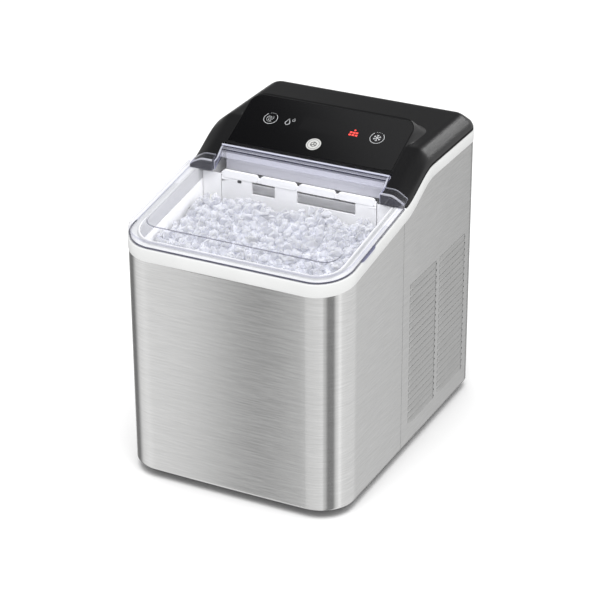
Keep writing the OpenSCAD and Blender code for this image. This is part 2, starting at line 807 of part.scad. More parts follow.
module condenser_coil() color("peru") from_front() {
    ends = [condenser_y[0] + 12, condenser_y[1] - 12];
    for (k = [0:coil_rows - 1])
        y_bar([coil_x(), ends[0], coil_z(k)], ends[1] - ends[0], coil_r);
    for (k = [0:coil_rows - 2]) translate([coil_x(), ends[(k + 1) % 2], coil_z(k + 0.5)])
        rotate([90, 0, 90]) rotate_extrude(angle = 180, start = k % 2 == 0 ? -90 : 90)
            translate([coil_pitch / 2, 0]) circle(coil_r);
}

module fan_blades() color("#202020") from_front() translate([0, fan_at[0], fan_at[1]]) {
    x_bar(70, 84, 0, 0, 13);
    for (a = [0:72:288]) rotate([a, 0, 0]) translate([77, 0, 12]) rotate([0, 0, 32])
        translate([-0.9, -12, 0]) cube([1.8, 24, fan_r - 14]);
    x_bar(62, 70, 0, 0, 2.5);
}

module fan_motor() color("#505050") from_front() translate([0, fan_at[0], fan_at[1]]) difference() {
    union() {
        x_bar(36, 66, 0, 0, 20);
        translate([62, 0, 0]) cube([3, 8, 110], center = true);
    }
    x_bar(60, 67, 0, 0, 2.5 + running_gap);
}

module fan_shroud() color("#303030") from_front() difference() {
    translate([76, fan_at[0], fan_at[1]]) cube([24, 116, 130], center = true);
    x_bar(60, 92, fan_at[0], fan_at[1], fan_r + 3);
}

module filter_drier() color("peru") from_front() translate([20, 292, 60]) {
    cylinder(70, 8, 8);
    translate([0, 0, 70]) sphere(8);
    sphere(8);
}

module hot_gas_valve() color("steelblue") from_front() {
    translate([28, 165, 175]) cylinder(26, 5, 5);
    translate([28, 165, 183]) cube([24, 22, 16], center = true);
}

module refrigerant_pipes() color("peru") from_front() {
    bar_along([[-17, 242.6, 120], [20, 285, 150], [60, 292, 172], [99.5, 284, 172],
        [99.5, 267, 166]], 2.2);
    bar_along([[99.5, 163.5, 40], [97, 155, 32], [60, 150, 31], [46, 180, 31], [30, 284, 38],
        [20, 292, 50]], 1.6);
    bar_along([[28, 165, 172.6], [24, 150, 166], [0, 150, 164], [-20, 164, 172],
        [-52, 206, 144.6]], 2.2);
}

// ---- Power ----

module power_inlet() color("black") from_front()
    translate([inlet_at[0], body_d - steel_in, inlet_at[1]]) rotate([90, 0, 0]) {
        difference() {
            linear_extrude(22) rounded(inlet_size[0] - 1, inlet_size[1] - 1, 2);
            translate([0, 0, -1]) linear_extrude(19) rounded(25, 17, 3);
        }
        for (i = [-1:1]) translate([i * 7, i == 0 ? -2.5 : 1.5, 10])
            cube([1.6, 4, 17], center = true);
    }

module power_board() color("darkgreen") from_front() {
    translate([-105, 225, 200]) cube([1.6, 120, 64], center = true);
    translate([-96, 200, 205]) cube([16, 26, 24], center = true);
    translate([-94, 250, 210]) cube([20, 18, 26], center = true);
    x_bar(-104, -82, 275, 205, 8);
}

module rear_screws() color("silver") from_front()
    for (x = [-82, 82], z = [22, 140, 256]) translate([x, body_d, z]) rotate([90, 0, 0])
        cylinder(steel_in - tiny, screw_head_r, screw_head_r);

front_panel();
side_panel_left();
side_panel_right();
rear_panel();
base_tray();
foot_front_left();
foot_front_right();
foot_rear_left();
foot_rear_right();
top_frame();
inner_liner();
insulation();
top_cover();
panel_glass();
display_window();
control_board();
touch_springs();
bin_fascia();
lid();
lid_pin_left();
lid_pin_right();
ice_basket();
ice_shovel();
shovel_pins();
evaporator();
evaporator_bracket();
water_tray();
tray_shaft();
tray_motor();
water_pump();
pump_impeller();
water_hose();
drain_tube();
drain_plug();
float_stem();
float_ring();
ice_level_sensors();
compressor();
compressor_mounts();
condenser_fins();
condenser_coil();
fan_blades();
fan_motor();
fan_shroud();
filter_drier();
hot_gas_valve();
refrigerant_pipes();
power_inlet();
power_board();
rear_screws();
base_screws();
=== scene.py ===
"""Countertop ice maker: meshes, materials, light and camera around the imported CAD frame.

Lengths are in millimetres until at() turns them into metres. X is across, Y is the depth
measured from the front face, Z is up from the surface that the feet stand on.
"""

import json
import math
import random

import bmesh
import bpy
from mathutils import Matrix, Vector


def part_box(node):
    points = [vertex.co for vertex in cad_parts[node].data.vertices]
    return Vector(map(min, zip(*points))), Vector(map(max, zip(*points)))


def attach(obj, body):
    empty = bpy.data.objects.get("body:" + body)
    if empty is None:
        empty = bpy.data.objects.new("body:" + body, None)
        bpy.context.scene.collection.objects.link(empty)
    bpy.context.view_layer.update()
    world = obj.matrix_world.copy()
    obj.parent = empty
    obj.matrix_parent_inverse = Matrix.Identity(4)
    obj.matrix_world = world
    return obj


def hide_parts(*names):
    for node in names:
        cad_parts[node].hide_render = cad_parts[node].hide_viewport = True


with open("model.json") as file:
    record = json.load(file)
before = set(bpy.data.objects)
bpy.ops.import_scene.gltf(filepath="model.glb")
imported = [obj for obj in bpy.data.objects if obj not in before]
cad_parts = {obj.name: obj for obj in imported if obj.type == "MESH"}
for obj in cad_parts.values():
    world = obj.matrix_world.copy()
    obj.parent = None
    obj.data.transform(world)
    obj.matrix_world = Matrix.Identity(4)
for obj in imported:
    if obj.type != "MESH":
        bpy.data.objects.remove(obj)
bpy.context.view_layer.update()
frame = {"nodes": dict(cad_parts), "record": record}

MM = 0.001
ORIGIN_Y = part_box("top_frame")[0].y / MM


def low(node, end=0):
    """Lowest corner of a CAD node, in millimetres with y from the front face."""
    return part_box(node)[end] / MM - Vector((0, ORIGIN_Y, 0))


def high(node):
    """Highest corner, the same way."""
    return low(node, 1)


def at(x, y, z):
    """A place in millimetres, as a point of the shared frame in metres."""
    return Vector((x, y + ORIGIN_Y, z)) * MM


def local_y(y):
    """Depth from the front face, in millimetres, of a y of the shared frame."""
    return y / MM - ORIGIN_Y


# ---- Sizes of the body, taken from the frame where it holds them ----

HALF_W = high("top_frame").x
DEPTH = high("top_frame").y
FRONT_R = 34
REAR_R = 20
FOOT_H = low("base_tray").z
STEEL_IN = 0.4
STEEL_X = HALF_W - STEEL_IN
STEEL_FRONT_Z = low("top_frame").z
STEEL_REAR_Z = high("side_panel_right").z
BAND_FRONT_Z = STEEL_FRONT_Z + 12.6
BAND_REAR_Z = high("top_frame").z
STEEL_RAMP = (142, 200)
BAND_RAMP = (141, 198)
DECK_SLOPE = math.tan(math.radians(8.95))
SEAM_Y = 134.5
CHEEK_Y = 139.2
COVER_Z = 293.2
CONSOLE_SLOPE = math.tan(math.radians(26))
CONSOLE_Y = 164
CONSOLE_Z = 279.2
CONSOLE_RIM_Y = 224
CONSOLE_FOOT_Y = 248
CONSOLE_HALF = 86
GLASS_HALF = high("panel_glass").x
GLASS_LEN = 63
CHEEK_IN = 87.2
LID_H = 9
LID_END_Y = 146
RISER_HALF = 86.4
LID_BACK = (157.2, 278.3)


def follow(y, z0, z1, ramp):
    """Height of a line that follows the deck, the ramp and the flat rear."""
    if y <= ramp[0]:
        return z0 + y * DECK_SLOPE
    if y >= ramp[1]:
        return z1
    span = ramp[1] - ramp[0]
    t = (y - ramp[0]) / span
    start = z0 + ramp[0] * DECK_SLOPE
    rise = t * t * (3 - 2 * t)
    return start + (z1 - start) * rise + span * DECK_SLOPE * t * (1 - t) ** 2


def steel_z(y):
    return follow(y, STEEL_FRONT_Z, STEEL_REAR_Z, STEEL_RAMP)


def band_z(y):
    return follow(y, BAND_FRONT_Z, BAND_REAR_Z, BAND_RAMP)


def console_z(y):
    return CONSOLE_Z + (y - CONSOLE_Y) * CONSOLE_SLOPE


def cheek_z(y):
    return min(COVER_Z, console_z(y) - 0.5)


def lid_z(y):
    return BAND_FRONT_Z + LID_H + y * DECK_SLOPE


# ---- Mesh helpers ----


def polar(u, v, radius, degrees):
    """The point at an angle on a circle."""
    a = math.radians(degrees)
    return u + radius * math.cos(a), v + radius * math.sin(a)


def arc(u, v, radius, start, end, steps=40):
    """Points on an arc, with its angles in degrees."""
    return [polar(u, v, radius, start + (end - start) * k / steps) for k in range(steps + 1)]


def plan_path(corners, parts=24, arc_steps=16, closed=False):
    """Walks a plan outline of (x, y, radius) corners and returns places with their normals.

    Every straight stretch has the same number of parts (or one number each) and every corner
    the same number of steps, so outlines of different sizes match place for place.
    """
    n = len(corners)
    points = [Vector(c[:2]) for c in corners]
    stops = []
    for i, (_, _, r) in enumerate(corners):
        here = points[i]
        if not closed and i in (0, n - 1):
            stops.append((here, here, None))
            continue
        back = (points[i - 1] - here).normalized()
        ahead = (points[(i + 1) % n] - here).normalized()
        half = back.angle(ahead) / 2
        reach = r / math.tan(half)
        centre = here + (back + ahead).normalized() * (r / math.sin(half))
        stops.append((here + back * reach, here + ahead * reach, centre))
    middle = sum(points, Vector((0, 0))) / n
    path = []
    for i, (start, end, centre) in enumerate(stops):
        if centre is None:
            way = points[1] - points[0] if i == 0 else points[-1] - points[-2]
            path.append((end, outward(way, end, middle)))
        else:
            a, b = start - centre, end - centre
            turn = math.atan2(a.x * b.y - a.y * b.x, a.dot(b))
            for k in range(arc_steps + 1):
                spoke = Matrix.Rotation(turn * k / arc_steps, 2) @ a
                path.append((centre + spoke, spoke.normalized()))
        if i + 1 < n or closed:
            way = stops[(i + 1) % n][0] - end
            count = parts if isinstance(parts, int) else parts[i]
            for k in range(1, count):
                path.append((end + way * k / count, outward(way, end, middle)))
    return path


def outward(way, place, middle):
    normal = Vector((-way.y, way.x)).normalized()
    return normal if normal.dot(place - middle) > 0 else -normal


def loft(loops, closed=False, around=False):
    """Verts and faces between loops that match place for place.

    closed joins each loop's end to its start, and around joins the last loop to the first.
    """
    n, m = len(loops), len(loops[0])
    verts = [v for ring in loops for v in ring]
    faces = []
    for i in range(n if around else n - 1):
        a, b = i * m, (i + 1) % n * m
        for j in range(m if closed else m - 1):
            k = (j + 1) % m
            faces.append((a + j, b + j, b + k, a + k))
    return verts, faces


def capped(rings):
    """A closed loft with both its ends filled."""
    verts, faces = loft(rings, closed=True)
    m, total = len(rings[0]), len(verts)
    return verts, faces + [tuple(range(m)), tuple(range(total - m, total))]


def prism(outline, near, far, place):
    """A straight solid on an outline of pairs; place(end, a, b) gives each point."""
    return capped([[place(end, a, b) for a, b in outline] for end in (near, far)])


def plate(outline, x0, x1):
    """A flat plate across X with an outline of (y, z) places."""
    return prism(outline, x0, x1, lambda x, y, z: (x, y, z))


def clean_mesh(name, verts, faces, merge=0.001):
    """A smooth mesh from points in millimetres, with its faces turned outwards."""
    mesh = bpy.data.meshes.new(name)
    mesh.from_pydata([at(*v) for v in verts], [], faces)
    bm = bmesh.new()
    bm.from_mesh(mesh)
    bmesh.ops.remove_doubles(bm, verts=bm.verts, dist=merge * MM)
    bmesh.ops.recalc_face_normals(bm, faces=bm.faces)
    for face in bm.faces:
        face.smooth = True
    bm.to_mesh(mesh)
    bm.free()
    return mesh


def piece(name, shape, body, material=None, slot=None, replaces=(), sharp=32, merge=0.001):
    """A piece of the object; without a material of its own it takes the slot's."""
    mesh = clean_mesh(name, *shape, merge)
    mesh.set_sharp_from_angle(angle=math.radians(sharp))
    obj = bpy.data.objects.new(name, mesh)
    bpy.context.scene.collection.objects.link(obj)
    if material is None:
        material = SLOTS[slot]
    for m in material if isinstance(material, list) else [material]:
        mesh.materials.append(m)
    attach(obj, body)
    if replaces:
        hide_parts(*replaces)
    return obj


def join(parts):
    """One list of verts and faces from several."""
    verts, faces = [], []
    for vs, fs in parts:
        base = len(verts)
        verts += vs
        faces += [tuple(base + i for i in f) for f in fs]
    return verts, faces


def apply_modifiers(obj, sharp):
    """Makes the modified shape the piece's own mesh, with crisp rims."""
    solved = obj.evaluated_get(bpy.context.evaluated_depsgraph_get())
    shape = bpy.data.meshes.new_from_object(solved)
    shape.set_sharp_from_angle(angle=math.radians(sharp))
    obj.modifiers.clear()
    obj.data = shape


def thicken(obj, thickness, offset=-1, sharp=32):
    """Gives a skin its wall."""
    solid = obj.modifiers.new("thickness", "SOLIDIFY")
    solid.thickness = thickness * MM
    solid.offset = offset
    solid.use_even_offset = True
    apply_modifiers(obj, sharp)


def soften(obj, width):
    """Rounds the sharp edges of a piece or a CAD node."""
    bevel = obj.modifiers.new("edges", "BEVEL")
    bevel.width = width * MM
    bevel.segments = 2
    bevel.limit_method = "ANGLE"
    bevel.angle_limit = math.radians(30)
    bevel.harden_normals = True


# ---- Materials ----


class Shader:
    """A principled material and the few nodes that carry its texture."""

    def __init__(self, name, color, roughness, **sockets):
        self.mat = bpy.data.materials.new(name)
        self.mat.use_nodes = True
        self.tree = self.mat.node_tree
        self.bsdf = self.tree.nodes["Principled BSDF"]
        self.color = color
        set_sockets(self.bsdf, Base_Color=(*color, 1), Roughness=roughness, **sockets)

    def node(self, kind, **sockets):
        return set_sockets(self.tree.nodes.new("ShaderNode" + kind), **sockets)

    def link(self, output, node, socket):
        self.tree.links.new(output, node.inputs[socket])

    def noise(self, scale, detail=3.0, rough=0.5):
        """Fractal noise in object space; scale is cycles per metre, one or along X, Y and Z."""
        if isinstance(scale, (int, float)):
            scale = (scale, scale, scale)
        stretch = self.node("Mapping", Scale=scale)
        noise = self.node("TexNoise", Scale=1.0, Detail=detail, Roughness=rough)
        self.link(self.node("TexCoord").outputs["Object"], stretch, "Vector")
        self.link(stretch.outputs["Vector"], noise, "Vector")
        return noise.outputs["Fac"]

    def vary_color(self, factor, darker, lighter, span=(0.3, 0.7)):
        """Colour runs between two multiples of the base colour."""
        ramp = self.node("ValToRGB")
        for stop, position, gain in zip(ramp.color_ramp.elements, span, (darker, lighter)):
            stop.position = position
            stop.color = (*[min(1.0, c * gain) for c in self.color], 1)
        self.link(factor, ramp, "Fac")
        self.link(ramp.outputs["Color"], self.bsdf, "Base Color")

    def vary_roughness(self, factor, least, most):
        span = self.node("MapRange", From_Min=0.3, From_Max=0.7, To_Min=least, To_Max=most)
        self.link(factor, span, "Value")
        self.link(span.outputs["Result"], self.bsdf, "Roughness")

    def bump(self, factor, height, strength=0.5, shader=None):
        """Surface relief; height in millimetres."""
        bump = self.node("Bump", Strength=strength, Distance=height * MM)
        self.link(factor, bump, "Height")
        self.link(bump.outputs["Normal"], shader or self.bsdf, "Normal")

    def mix(self, factor, first, second):
        """Shader between two others, by a number or another node's output."""
        mix = self.node("MixShader")
        if isinstance(factor, (int, float)):
            mix.inputs["Fac"].default_value = factor
        else:
            self.link(factor, mix, "Fac")
        self.link(first, mix, 1)
        self.link(second, mix, 2)
        return mix.outputs["Shader"]

    def show(self, shader):
        self.link(shader, self.tree.nodes["Material Output"], "Surface")


def set_sockets(node, **sockets):
    """Sets a node's inputs by name, with _ for each space."""
    for key, value in sockets.items():
        node.inputs[key.replace("_", " ")].default_value = value
    return node


def moulded(name, color, roughness, grain=1800, relief=0.03, shine=0.5):
    """Moulded plastic or rubber: fine grain, with a slow drift of tone and gloss."""
    s = Shader(name, color, roughness, Specular_IOR_Level=shine)
    s.vary_color(s.noise(28, 2), 0.97, 1.02)
    fine = s.noise(grain, 2)
    s.vary_roughness(fine, roughness * 0.85, min(1, roughness * 1.15))
    s.bump(fine, relief, 0.4)
    return s.mat


def brushed(name, color, roughness):
    """Upright sheet steel brushed level, with the fine scratches of the belt."""
    s = Shader(name, color, roughness, Metallic=1.0, Anisotropic=1.0, Anisotropic_Rotation=0.25)
    along, across = 42, 1100
    hair = s.noise((along, along, across), 5, 0.7)
    s.vary_color(hair, 0.90, 1.08)
    s.vary_roughness(hair, roughness * 0.9, roughness * 1.12)
    s.bump(hair, 0.004, 0.2)
    tangent = s.node("Tangent")
    tangent.direction_type = "RADIAL"
    tangent.axis = "Z"
    s.link(tangent.outputs["Tangent"], s.bsdf, "Tangent")
    return s.mat


def metal(name, color, roughness):
    """Drawn, cast or plated metal."""
    s = Shader(name, color, roughness, Metallic=1.0)
    s.vary_color(s.noise(45), 0.86, 1.06)
    grain = s.noise(120, 4)
    s.vary_roughness(grain, roughness * 0.75, min(1, roughness * 1.3))
    s.bump(grain, 0.02, 0.4)
    return s.mat


def clear(name, tint, haze, haze_color=(0.80, 0.81, 0.90)):
    """Clear moulded wall: tinted straight-through view, mirror by Fresnel and a faint haze."""
    s = Shader(name, haze_color, 0.3)
    s.vary_color(s.noise(40, 2), 0.96, 1.04)
    through = s.node("BsdfTransparent", Color=(*tint, 1))
    mirror = s.node("BsdfAnisotropic", Color=(1, 1, 1, 1), Roughness=0.03)
    facing = s.node("LayerWeight", Blend=0.5)
    steep = s.node("Math")
    steep.operation = "POWER"
    steep.inputs[1].default_value = 5
    schlick = s.node("Math")
    schlick.operation = "MULTIPLY_ADD"
    schlick.inputs[1].default_value = 0.96
    schlick.inputs[2].default_value = 0.04
    s.link(facing.outputs["Facing"], steep, 0)
    s.link(steep.outputs["Value"], schlick, 0)
    s.bump(s.noise(22, 1), 0.05, 0.2, mirror)
    glassy = s.mix(schlick.outputs["Value"], through.outputs["BSDF"], mirror.outputs["BSDF"])
    s.show(s.mix(haze, glassy, s.bsdf.outputs["BSDF"]))
    return s.mat


def foam(name, color):
    """Cut open-cell foam."""
    s = Shader(name, color, 0.9)
    cells = s.noise(700)
    s.vary_color(cells, 0.8, 1.08)
    s.bump(cells, 0.6, 0.8)
    return s.mat


def circuit(name, color):
    """Solder mask with the faint relief of tracks below."""
    s = Shader(name, color, 0.3)
    tracks = s.noise(500, 0)
    s.vary_color(tracks, 0.7, 1.5, (0.48, 0.52))
    s.bump(tracks, 0.05, 0.4)
    return s.mat


def ice(name):
    """Cloudy machine ice: a milky heart that lets some of what is behind it through."""
    s = Shader(name, (0.90, 0.905, 0.93), 0.12, IOR=1.31, Subsurface_Weight=0.6,
               Subsurface_Radius=(1.0, 1.0, 1.1), Subsurface_Scale=5 * MM,
               Specular_IOR_Level=0.9)
    cloud = s.noise(330)
    s.vary_color(cloud, 0.94, 1.02)
    s.vary_roughness(cloud, 0.06, 0.25)
    s.bump(s.noise(420, 2), 0.25, 0.3)
    through = s.node("BsdfTransparent", Color=(0.97, 0.975, 1.0, 1))
    body = s.node("MapRange", To_Min=0.3, To_Max=1.0)
    s.link(s.node("LayerWeight", Blend=0.35).outputs["Facing"], body, "Value")
    s.show(s.mix(body.outputs["Result"], through.outputs["BSDF"], s.bsdf.outputs["BSDF"]))
    return s.mat


def lamp(name, color, strength):
    """Lit segment behind the panel."""
    s = Shader(name, color, 0.5, Emission_Color=(*color, 1), Emission_Strength=strength)
    s.vary_color(s.noise(900, 1), 0.85, 1.1)
    return s.mat


SLOTS = {name: make(name, *look) for name, make, *look in (
    ("brushed_steel", brushed, (0.80, 0.80, 0.795), 0.16),
    ("zinc_steel", metal, (0.60, 0.61, 0.62), 0.42),
    ("white_plastic", moulded, (0.90, 0.90, 0.90), 0.3),
    ("grey_plastic", moulded, (0.76, 0.76, 0.81), 0.6, 1800, 0.03, 0.3),
    ("black_cover", moulded, (0.009, 0.009, 0.0095), 0.34, 1800, 0.05),
    ("panel_gloss", moulded, (0.003, 0.003, 0.0035), 0.15, 1800, 0.002),
    ("black_plastic", moulded, (0.02, 0.02, 0.022), 0.5),
    ("clear_plastic", clear, (0.985, 0.986, 0.995), 0.012),
    ("frosted_plastic", moulded, (0.74, 0.77, 0.82), 0.35),
    ("rubber_feet", moulded, (0.025, 0.025, 0.025), 0.8, 1800, 0.1),
    ("foam", foam, (0.72, 0.62, 0.38)),
    ("copper", metal, (0.72, 0.40, 0.25), 0.28),
    ("nickel", metal, (0.66, 0.65, 0.62), 0.22),
    ("aluminium_fins", metal, (0.75, 0.76, 0.78), 0.35),
    ("circuit_board", circuit, (0.02, 0.16, 0.06)),
    ("black_paint", moulded, (0.012, 0.012, 0.013), 0.3, 700, 0.08),
    ("steel_pin", metal, (0.72, 0.72, 0.73), 0.2),
    ("float_red", moulded, (0.62, 0.06, 0.04), 0.4),
    ("hose_silicone", moulded, (0.78, 0.78, 0.72), 0.4),
    ("valve_blue", moulded, (0.05, 0.12, 0.30), 0.4),
)}
# Painted dark line on the step round the lid's raised field
CLEAR_STEP = clear("clear_plastic_painted_step_line", (0.42, 0.42, 0.47), 0.12)
# Painted bluish-dark look of the clear plastic at its end faces and edges
CLEAR_EDGE = clear("clear_plastic_painted_edge", (0.52, 0.53, 0.68), 0.10)
# Painted near-black lines at the skirt's front seam and the riser's ribs
CLEAR_LINE = clear("clear_plastic_painted_dark_line", (0.10, 0.10, 0.15), 0.25, (0.10, 0.10, 0.16))
# Painted grey sheen of the sloped riser, as extra haze
CLEAR_RISER = clear("clear_plastic_painted_riser_sheen", (0.95, 0.95, 0.985), 0.2, (0.74, 0.75, 0.84))
# Painted bright highlight lines along the lid's rims
CLEAR_RIM = clear("clear_plastic_painted_rim_highlight", (0.85, 0.86, 0.95), 0.45, (0.80, 0.81, 0.90))
# Painted darker band along the lid's rolled edge, for the dark it mirrors
CLEAR_ROLL = clear("clear_plastic_painted_roll_shade", (0.86, 0.86, 0.91), 0.05)
# Painted dark front faces of the wings, in place of the dark that shows through them
CLEAR_DARK = clear("clear_plastic_painted_dark", (0.06, 0.06, 0.09), 0.85, (0.025, 0.025, 0.038))
# A darker copy of the side sheet's steel for the hoods: painted shade that deepens the louver lines
LOUVER = brushed("louver_steel_painted_shade", (0.56, 0.56, 0.555), 0.2)
# A duller copy of the white plastic for the band's outside: painted shade on its lit faces
BAND = moulded("band_white_painted_shade", (0.73, 0.735, 0.73), 0.35)
PRINT = moulded("panel_print", (0.72, 0.73, 0.75), 0.5)
PALE_PRINT = moulded("emblem_print", (0.50, 0.50, 0.49), 0.5)
WINDOW_TINT = moulded("window_tint", (0.004, 0.004, 0.0045), 0.18, relief=0.004)
RED_LAMP = lamp("red_lamp", (0.80, 0.06, 0.05), 0.9)
ICE = ice("ice")
# A greyer opaque white for the ice under the lumps: painted shade between the lumps
PACKED_ICE = moulded("packed_ice_painted_shade", (0.74, 0.75, 0.79), 0.4, grain=300, relief=0.4)
# Near-black for the painted shade of the relief holes, the printed badge lines and the cover's dull
# strip
DARK = moulded("shadow_and_print_black", (0.01, 0.01, 0.01), 0.7, shine=0.15)


def finish_cad_nodes():
    """Gives every CAD node its slot's material, and the plain ones rounded edges."""
    for part in frame["record"]["subparts"]:
        node = frame["nodes"][part["node"]]
        node.data.materials.clear()
        node.data.materials.append(SLOTS[part["material_slot"]])
    for name, width in (("ice_basket", 0.6), ("bin_fascia", 0.4),
                        ("panel_glass", 0.35), ("rear_panel", 0.25), ("power_inlet", 0.4),
                        ("water_tray", 0.4), ("base_tray", 0.5), ("inner_liner", 1.2),
                        ("water_pump", 1.0), ("fan_shroud", 0.8), ("evaporator_bracket", 0.4)):
        soften(frame["nodes"][name], width)
    for side in ("front_left", "front_right", "rear_left", "rear_right"):
        soften(frame["nodes"]["foot_" + side], 0.8)


# ---- Steel skin ----


def steel_ring(p, n):
    """Cross section of the front's steel wall, with the rolled lower edge."""
    wall, roll = 1.0, 0.8
    z = steel_z(p.y)
    mid, inner = p - n * roll * 0.4, p - n * wall
    flat = [(*p, h) for h in (FOOT_H + roll, FOOT_H + roll + 1, z - 1, z - 0.02)]
    return [(*mid, FOOT_H), *flat, (*inner, z - 0.02), (*inner, FOOT_H)]


def bowed(path, bow):
    """Gives the flat front the slight crown that the pressing leaves."""
    flat = HALF_W - FRONT_R
    out = []
    for p, n in path:
        if p.y < STEEL_IN + 0.01 and abs(p.x) < flat:
            t = p.x / flat
            p = Vector((p.x, p.y - bow * (1 - t * t)))
            n = Vector((2 * bow * t / flat, -1)).normalized()
        out.append((p, n))
    return out


def front_panel():
    """Front sheet, wrapped round both corners to the side seams."""
    y, r = STEEL_IN, FRONT_R - STEEL_IN
    corners = [(STEEL_X, SEAM_Y, 0), (STEEL_X, y, r), (-STEEL_X, y, r), (-STEEL_X, SEAM_Y, 0)]
    path = bowed(plan_path(corners, 30, 30), 0.6)
    piece("steel_front", capped([steel_ring(p, n) for p, n in path]), "housing",
          slot="brushed_steel", replaces=["front_panel"])


LOUVER_Y = (151, 219)
LOUVER_LEN = 58
LOUVER_Z = 31
LOUVER_PITCH = 6.75
LOUVER_ROWS = 22
LOUVER_SLOT = 1.6
HOOD_REACH = 1.6
HOOD_TALL = 4.1
LOUVERS = [(y, LOUVER_Z + LOUVER_PITCH * row) for y in LOUVER_Y for row in range(LOUVER_ROWS)]
SIDES = {1: "right", -1: "left"}


def side_panel(side):
    """One side panel as a sheet with its slots cut through."""
    rear_y, r = DEPTH - STEEL_IN, REAR_R - STEEL_IN
    corner_y = rear_y - r
    path = [(Vector((STEEL_X, y)), Vector((1, 0)))
            for y in sorted([SEAM_Y + 0.35, 142, *LOUVER_Y, *[y + LOUVER_LEN for y in LOUVER_Y],
                             *range(148, 208, 4), 213, 230, 245, 260, corner_y - 1, corner_y])]
    steps = 16
    for k in range(1, steps + 1):
        a = math.radians(90 * k / steps)
        spoke = Vector((math.cos(a), math.sin(a)))
        path.append((Vector((STEEL_X - r, corner_y)) + spoke * r, spoke))
    path.append((Vector((high("rear_panel").x + 0.3, rear_y)), Vector((0, 1))))
    levels = [FOOT_H, FOOT_H + 0.8, FOOT_H + 1.8]
    first = len(levels)
    for row in range(LOUVER_ROWS):
        z = LOUVER_Z + LOUVER_PITCH * row
        levels += [z - LOUVER_SLOT / 2, z + LOUVER_SLOT / 2]
    levels += [LOUVER_Z + LOUVER_PITCH * LOUVER_ROWS, None]
    verts = []
    for p, n in path:
        for i, z in enumerate(levels):
            q = p - n * 0.3 if i == 0 else p
            verts.append((side * q.x, q.y, steel_z(p.y) - 0.02 if z is None else z))
    faces, m = [], len(levels)
    for i in range(len(path) - 1):
        y_mid = (path[i][0].y + path[i + 1][0].y) / 2
        in_column = any(y < y_mid < y + LOUVER_LEN for y in LOUVER_Y)
        for j in range(m - 1):
            in_slot = first <= j < first + 2 * LOUVER_ROWS and (j - first) % 2 == 0
            if not (in_column and in_slot):
                faces.append((i * m + j, (i + 1) * m + j, (i + 1) * m + j + 1, i * m + j + 1))
    if side < 0:
        faces = [tuple(reversed(f)) for f in faces]
    panel = piece("steel_" + SIDES[side], (verts, faces), "housing", slot="brushed_steel",
                  replaces=["side_panel_" + SIDES[side]])
    thicken(panel, 1.0)


def louver_hoods(side):
    """Pressed hoods over the slots: closed along the top, open below."""
    lengths = [0, 0.03, 0.07, 0.12, 0.2, 0.5, 0.8, 0.91, 0.95, 0.98, 1]
    heights = [0, 0.2, 0.45, 0.7, 0.9, 1]
    parts = []
    for y, z in LOUVERS:
        rings = []
        for s in lengths:
            reach = HOOD_REACH * math.sin(min(1, 8 * s, 14 * (1 - s)) * math.pi / 2)
            rings.append([(side * (STEEL_X + reach * math.sin(t * math.pi / 2) - 0.05),
                           y - 0.5 + s * (LOUVER_LEN + 1), z + 3.1 - HOOD_TALL * t)
                          for t in heights])
        parts.append(loft(rings))
    # The hoods wear the darker steel copy: painted shade
    hoods = piece("louvers_" + SIDES[side], join(parts), "housing", LOUVER, "brushed_steel",
                  sharp=60)
    thicken(hoods, 0.5, 0, sharp=60)


def relief_holes(side):
    """Round relief holes where each louver's cut ends, drawn as dark discs of painted shade."""
    ring = arc(0, 0, 1.15, 0, 324, 9)
    parts = [plate([(y + LOUVER_LEN + 1.2 + a, z - 0.6 + b) for a, b in ring],
                   side * (STEEL_X + 0.06), side * (STEEL_X - 0.8)) for y, z in LOUVERS]
    piece("relief_holes_" + SIDES[side], join(parts), "housing", DARK, "black_plastic")


# ---- White band round the bin ----


def top_frame():
    """White band on top of the steel, with the lip that the lid closes over."""
    x = HALF_W
    corners = [(x, 0, FRONT_R), (-x, 0, FRONT_R), (-x, DEPTH, REAR_R), (x, DEPTH, REAR_R)]
    rings = []
    for p, n in plan_path(corners, (50, 80, 50, 80), 24, closed=True):
        s, b = steel_z(p.y), band_z(p.y)
        lip = max(0.0, min(1.0, (133.5 - p.y) / 3)) if p.y < 140 else 0.0
        shape = [(0.9, s + 0.02), (0.15, s + 0.15), (0, s + 0.8), (0, b - 1.3), (0.35, b - 0.4),
                 (1.2, b), (8.6, b), (9.2, b + 0.4 * lip), (9.4, b + 1.2 * lip),
                 (9.5, b + 3.3 * lip), (9.9, b + 3.9 * lip), (10.6, b + 4 * lip),
                 (11.3, b + 3.9 * lip), (11.6, b + 3.3 * lip), (11.8, b - 1), (12, s + 0.4),
                 (11.4, s + 0.02)]
        rings.append([(*(p - n * i), z) for i, z in shape])
    band = piece("band", loft(rings, closed=True, around=True), "housing",
                 [BAND, SLOTS["white_plastic"]], "white_plastic", ["top_frame"], sharp=50)
    # Painted light and shade: the bin's wall takes the brighter white, the outside the duller
    bin_y = 75
    for face in band.data.polygons:
        y = local_y(face.center.y)
        outward_reach = face.normal.x * face.center.x / MM + face.normal.y * (y - bin_y)
        face.material_index = int(y < 136 and outward_reach < -5)


# ---- Black cover and console ----


def crease_up(y):
    """Height of the cover's upright edge strip, which starts as a point beside the lid."""
    t = max(0.0, min(1.0, (y - CHEEK_Y) / 42))
    return 1.5 + 3.7 * t * (2 - t)


def cover_shape(y):
    """Inset and height of the cover's surface, from its lower edge to the flat top."""
    b, t = band_z(y) + 0.12, cheek_z(y)
    crease = b + crease_up(y)
    rise = t - crease
    edge = crease - b
    return [(0.7, b), (0.1, b + 0.3), (0.2, b + 0.5 * edge), (1.1, crease - 0.15 * edge),
            (1.5, crease), (2.1, crease + 0.09 * rise), (4.4, crease + 0.29 * rise),
            (7.4, crease + 0.54 * rise), (10.2, crease + 0.76 * rise),
            (12.6, crease + 0.91 * rise), (14.6, crease + 0.98 * rise), (17, t)]


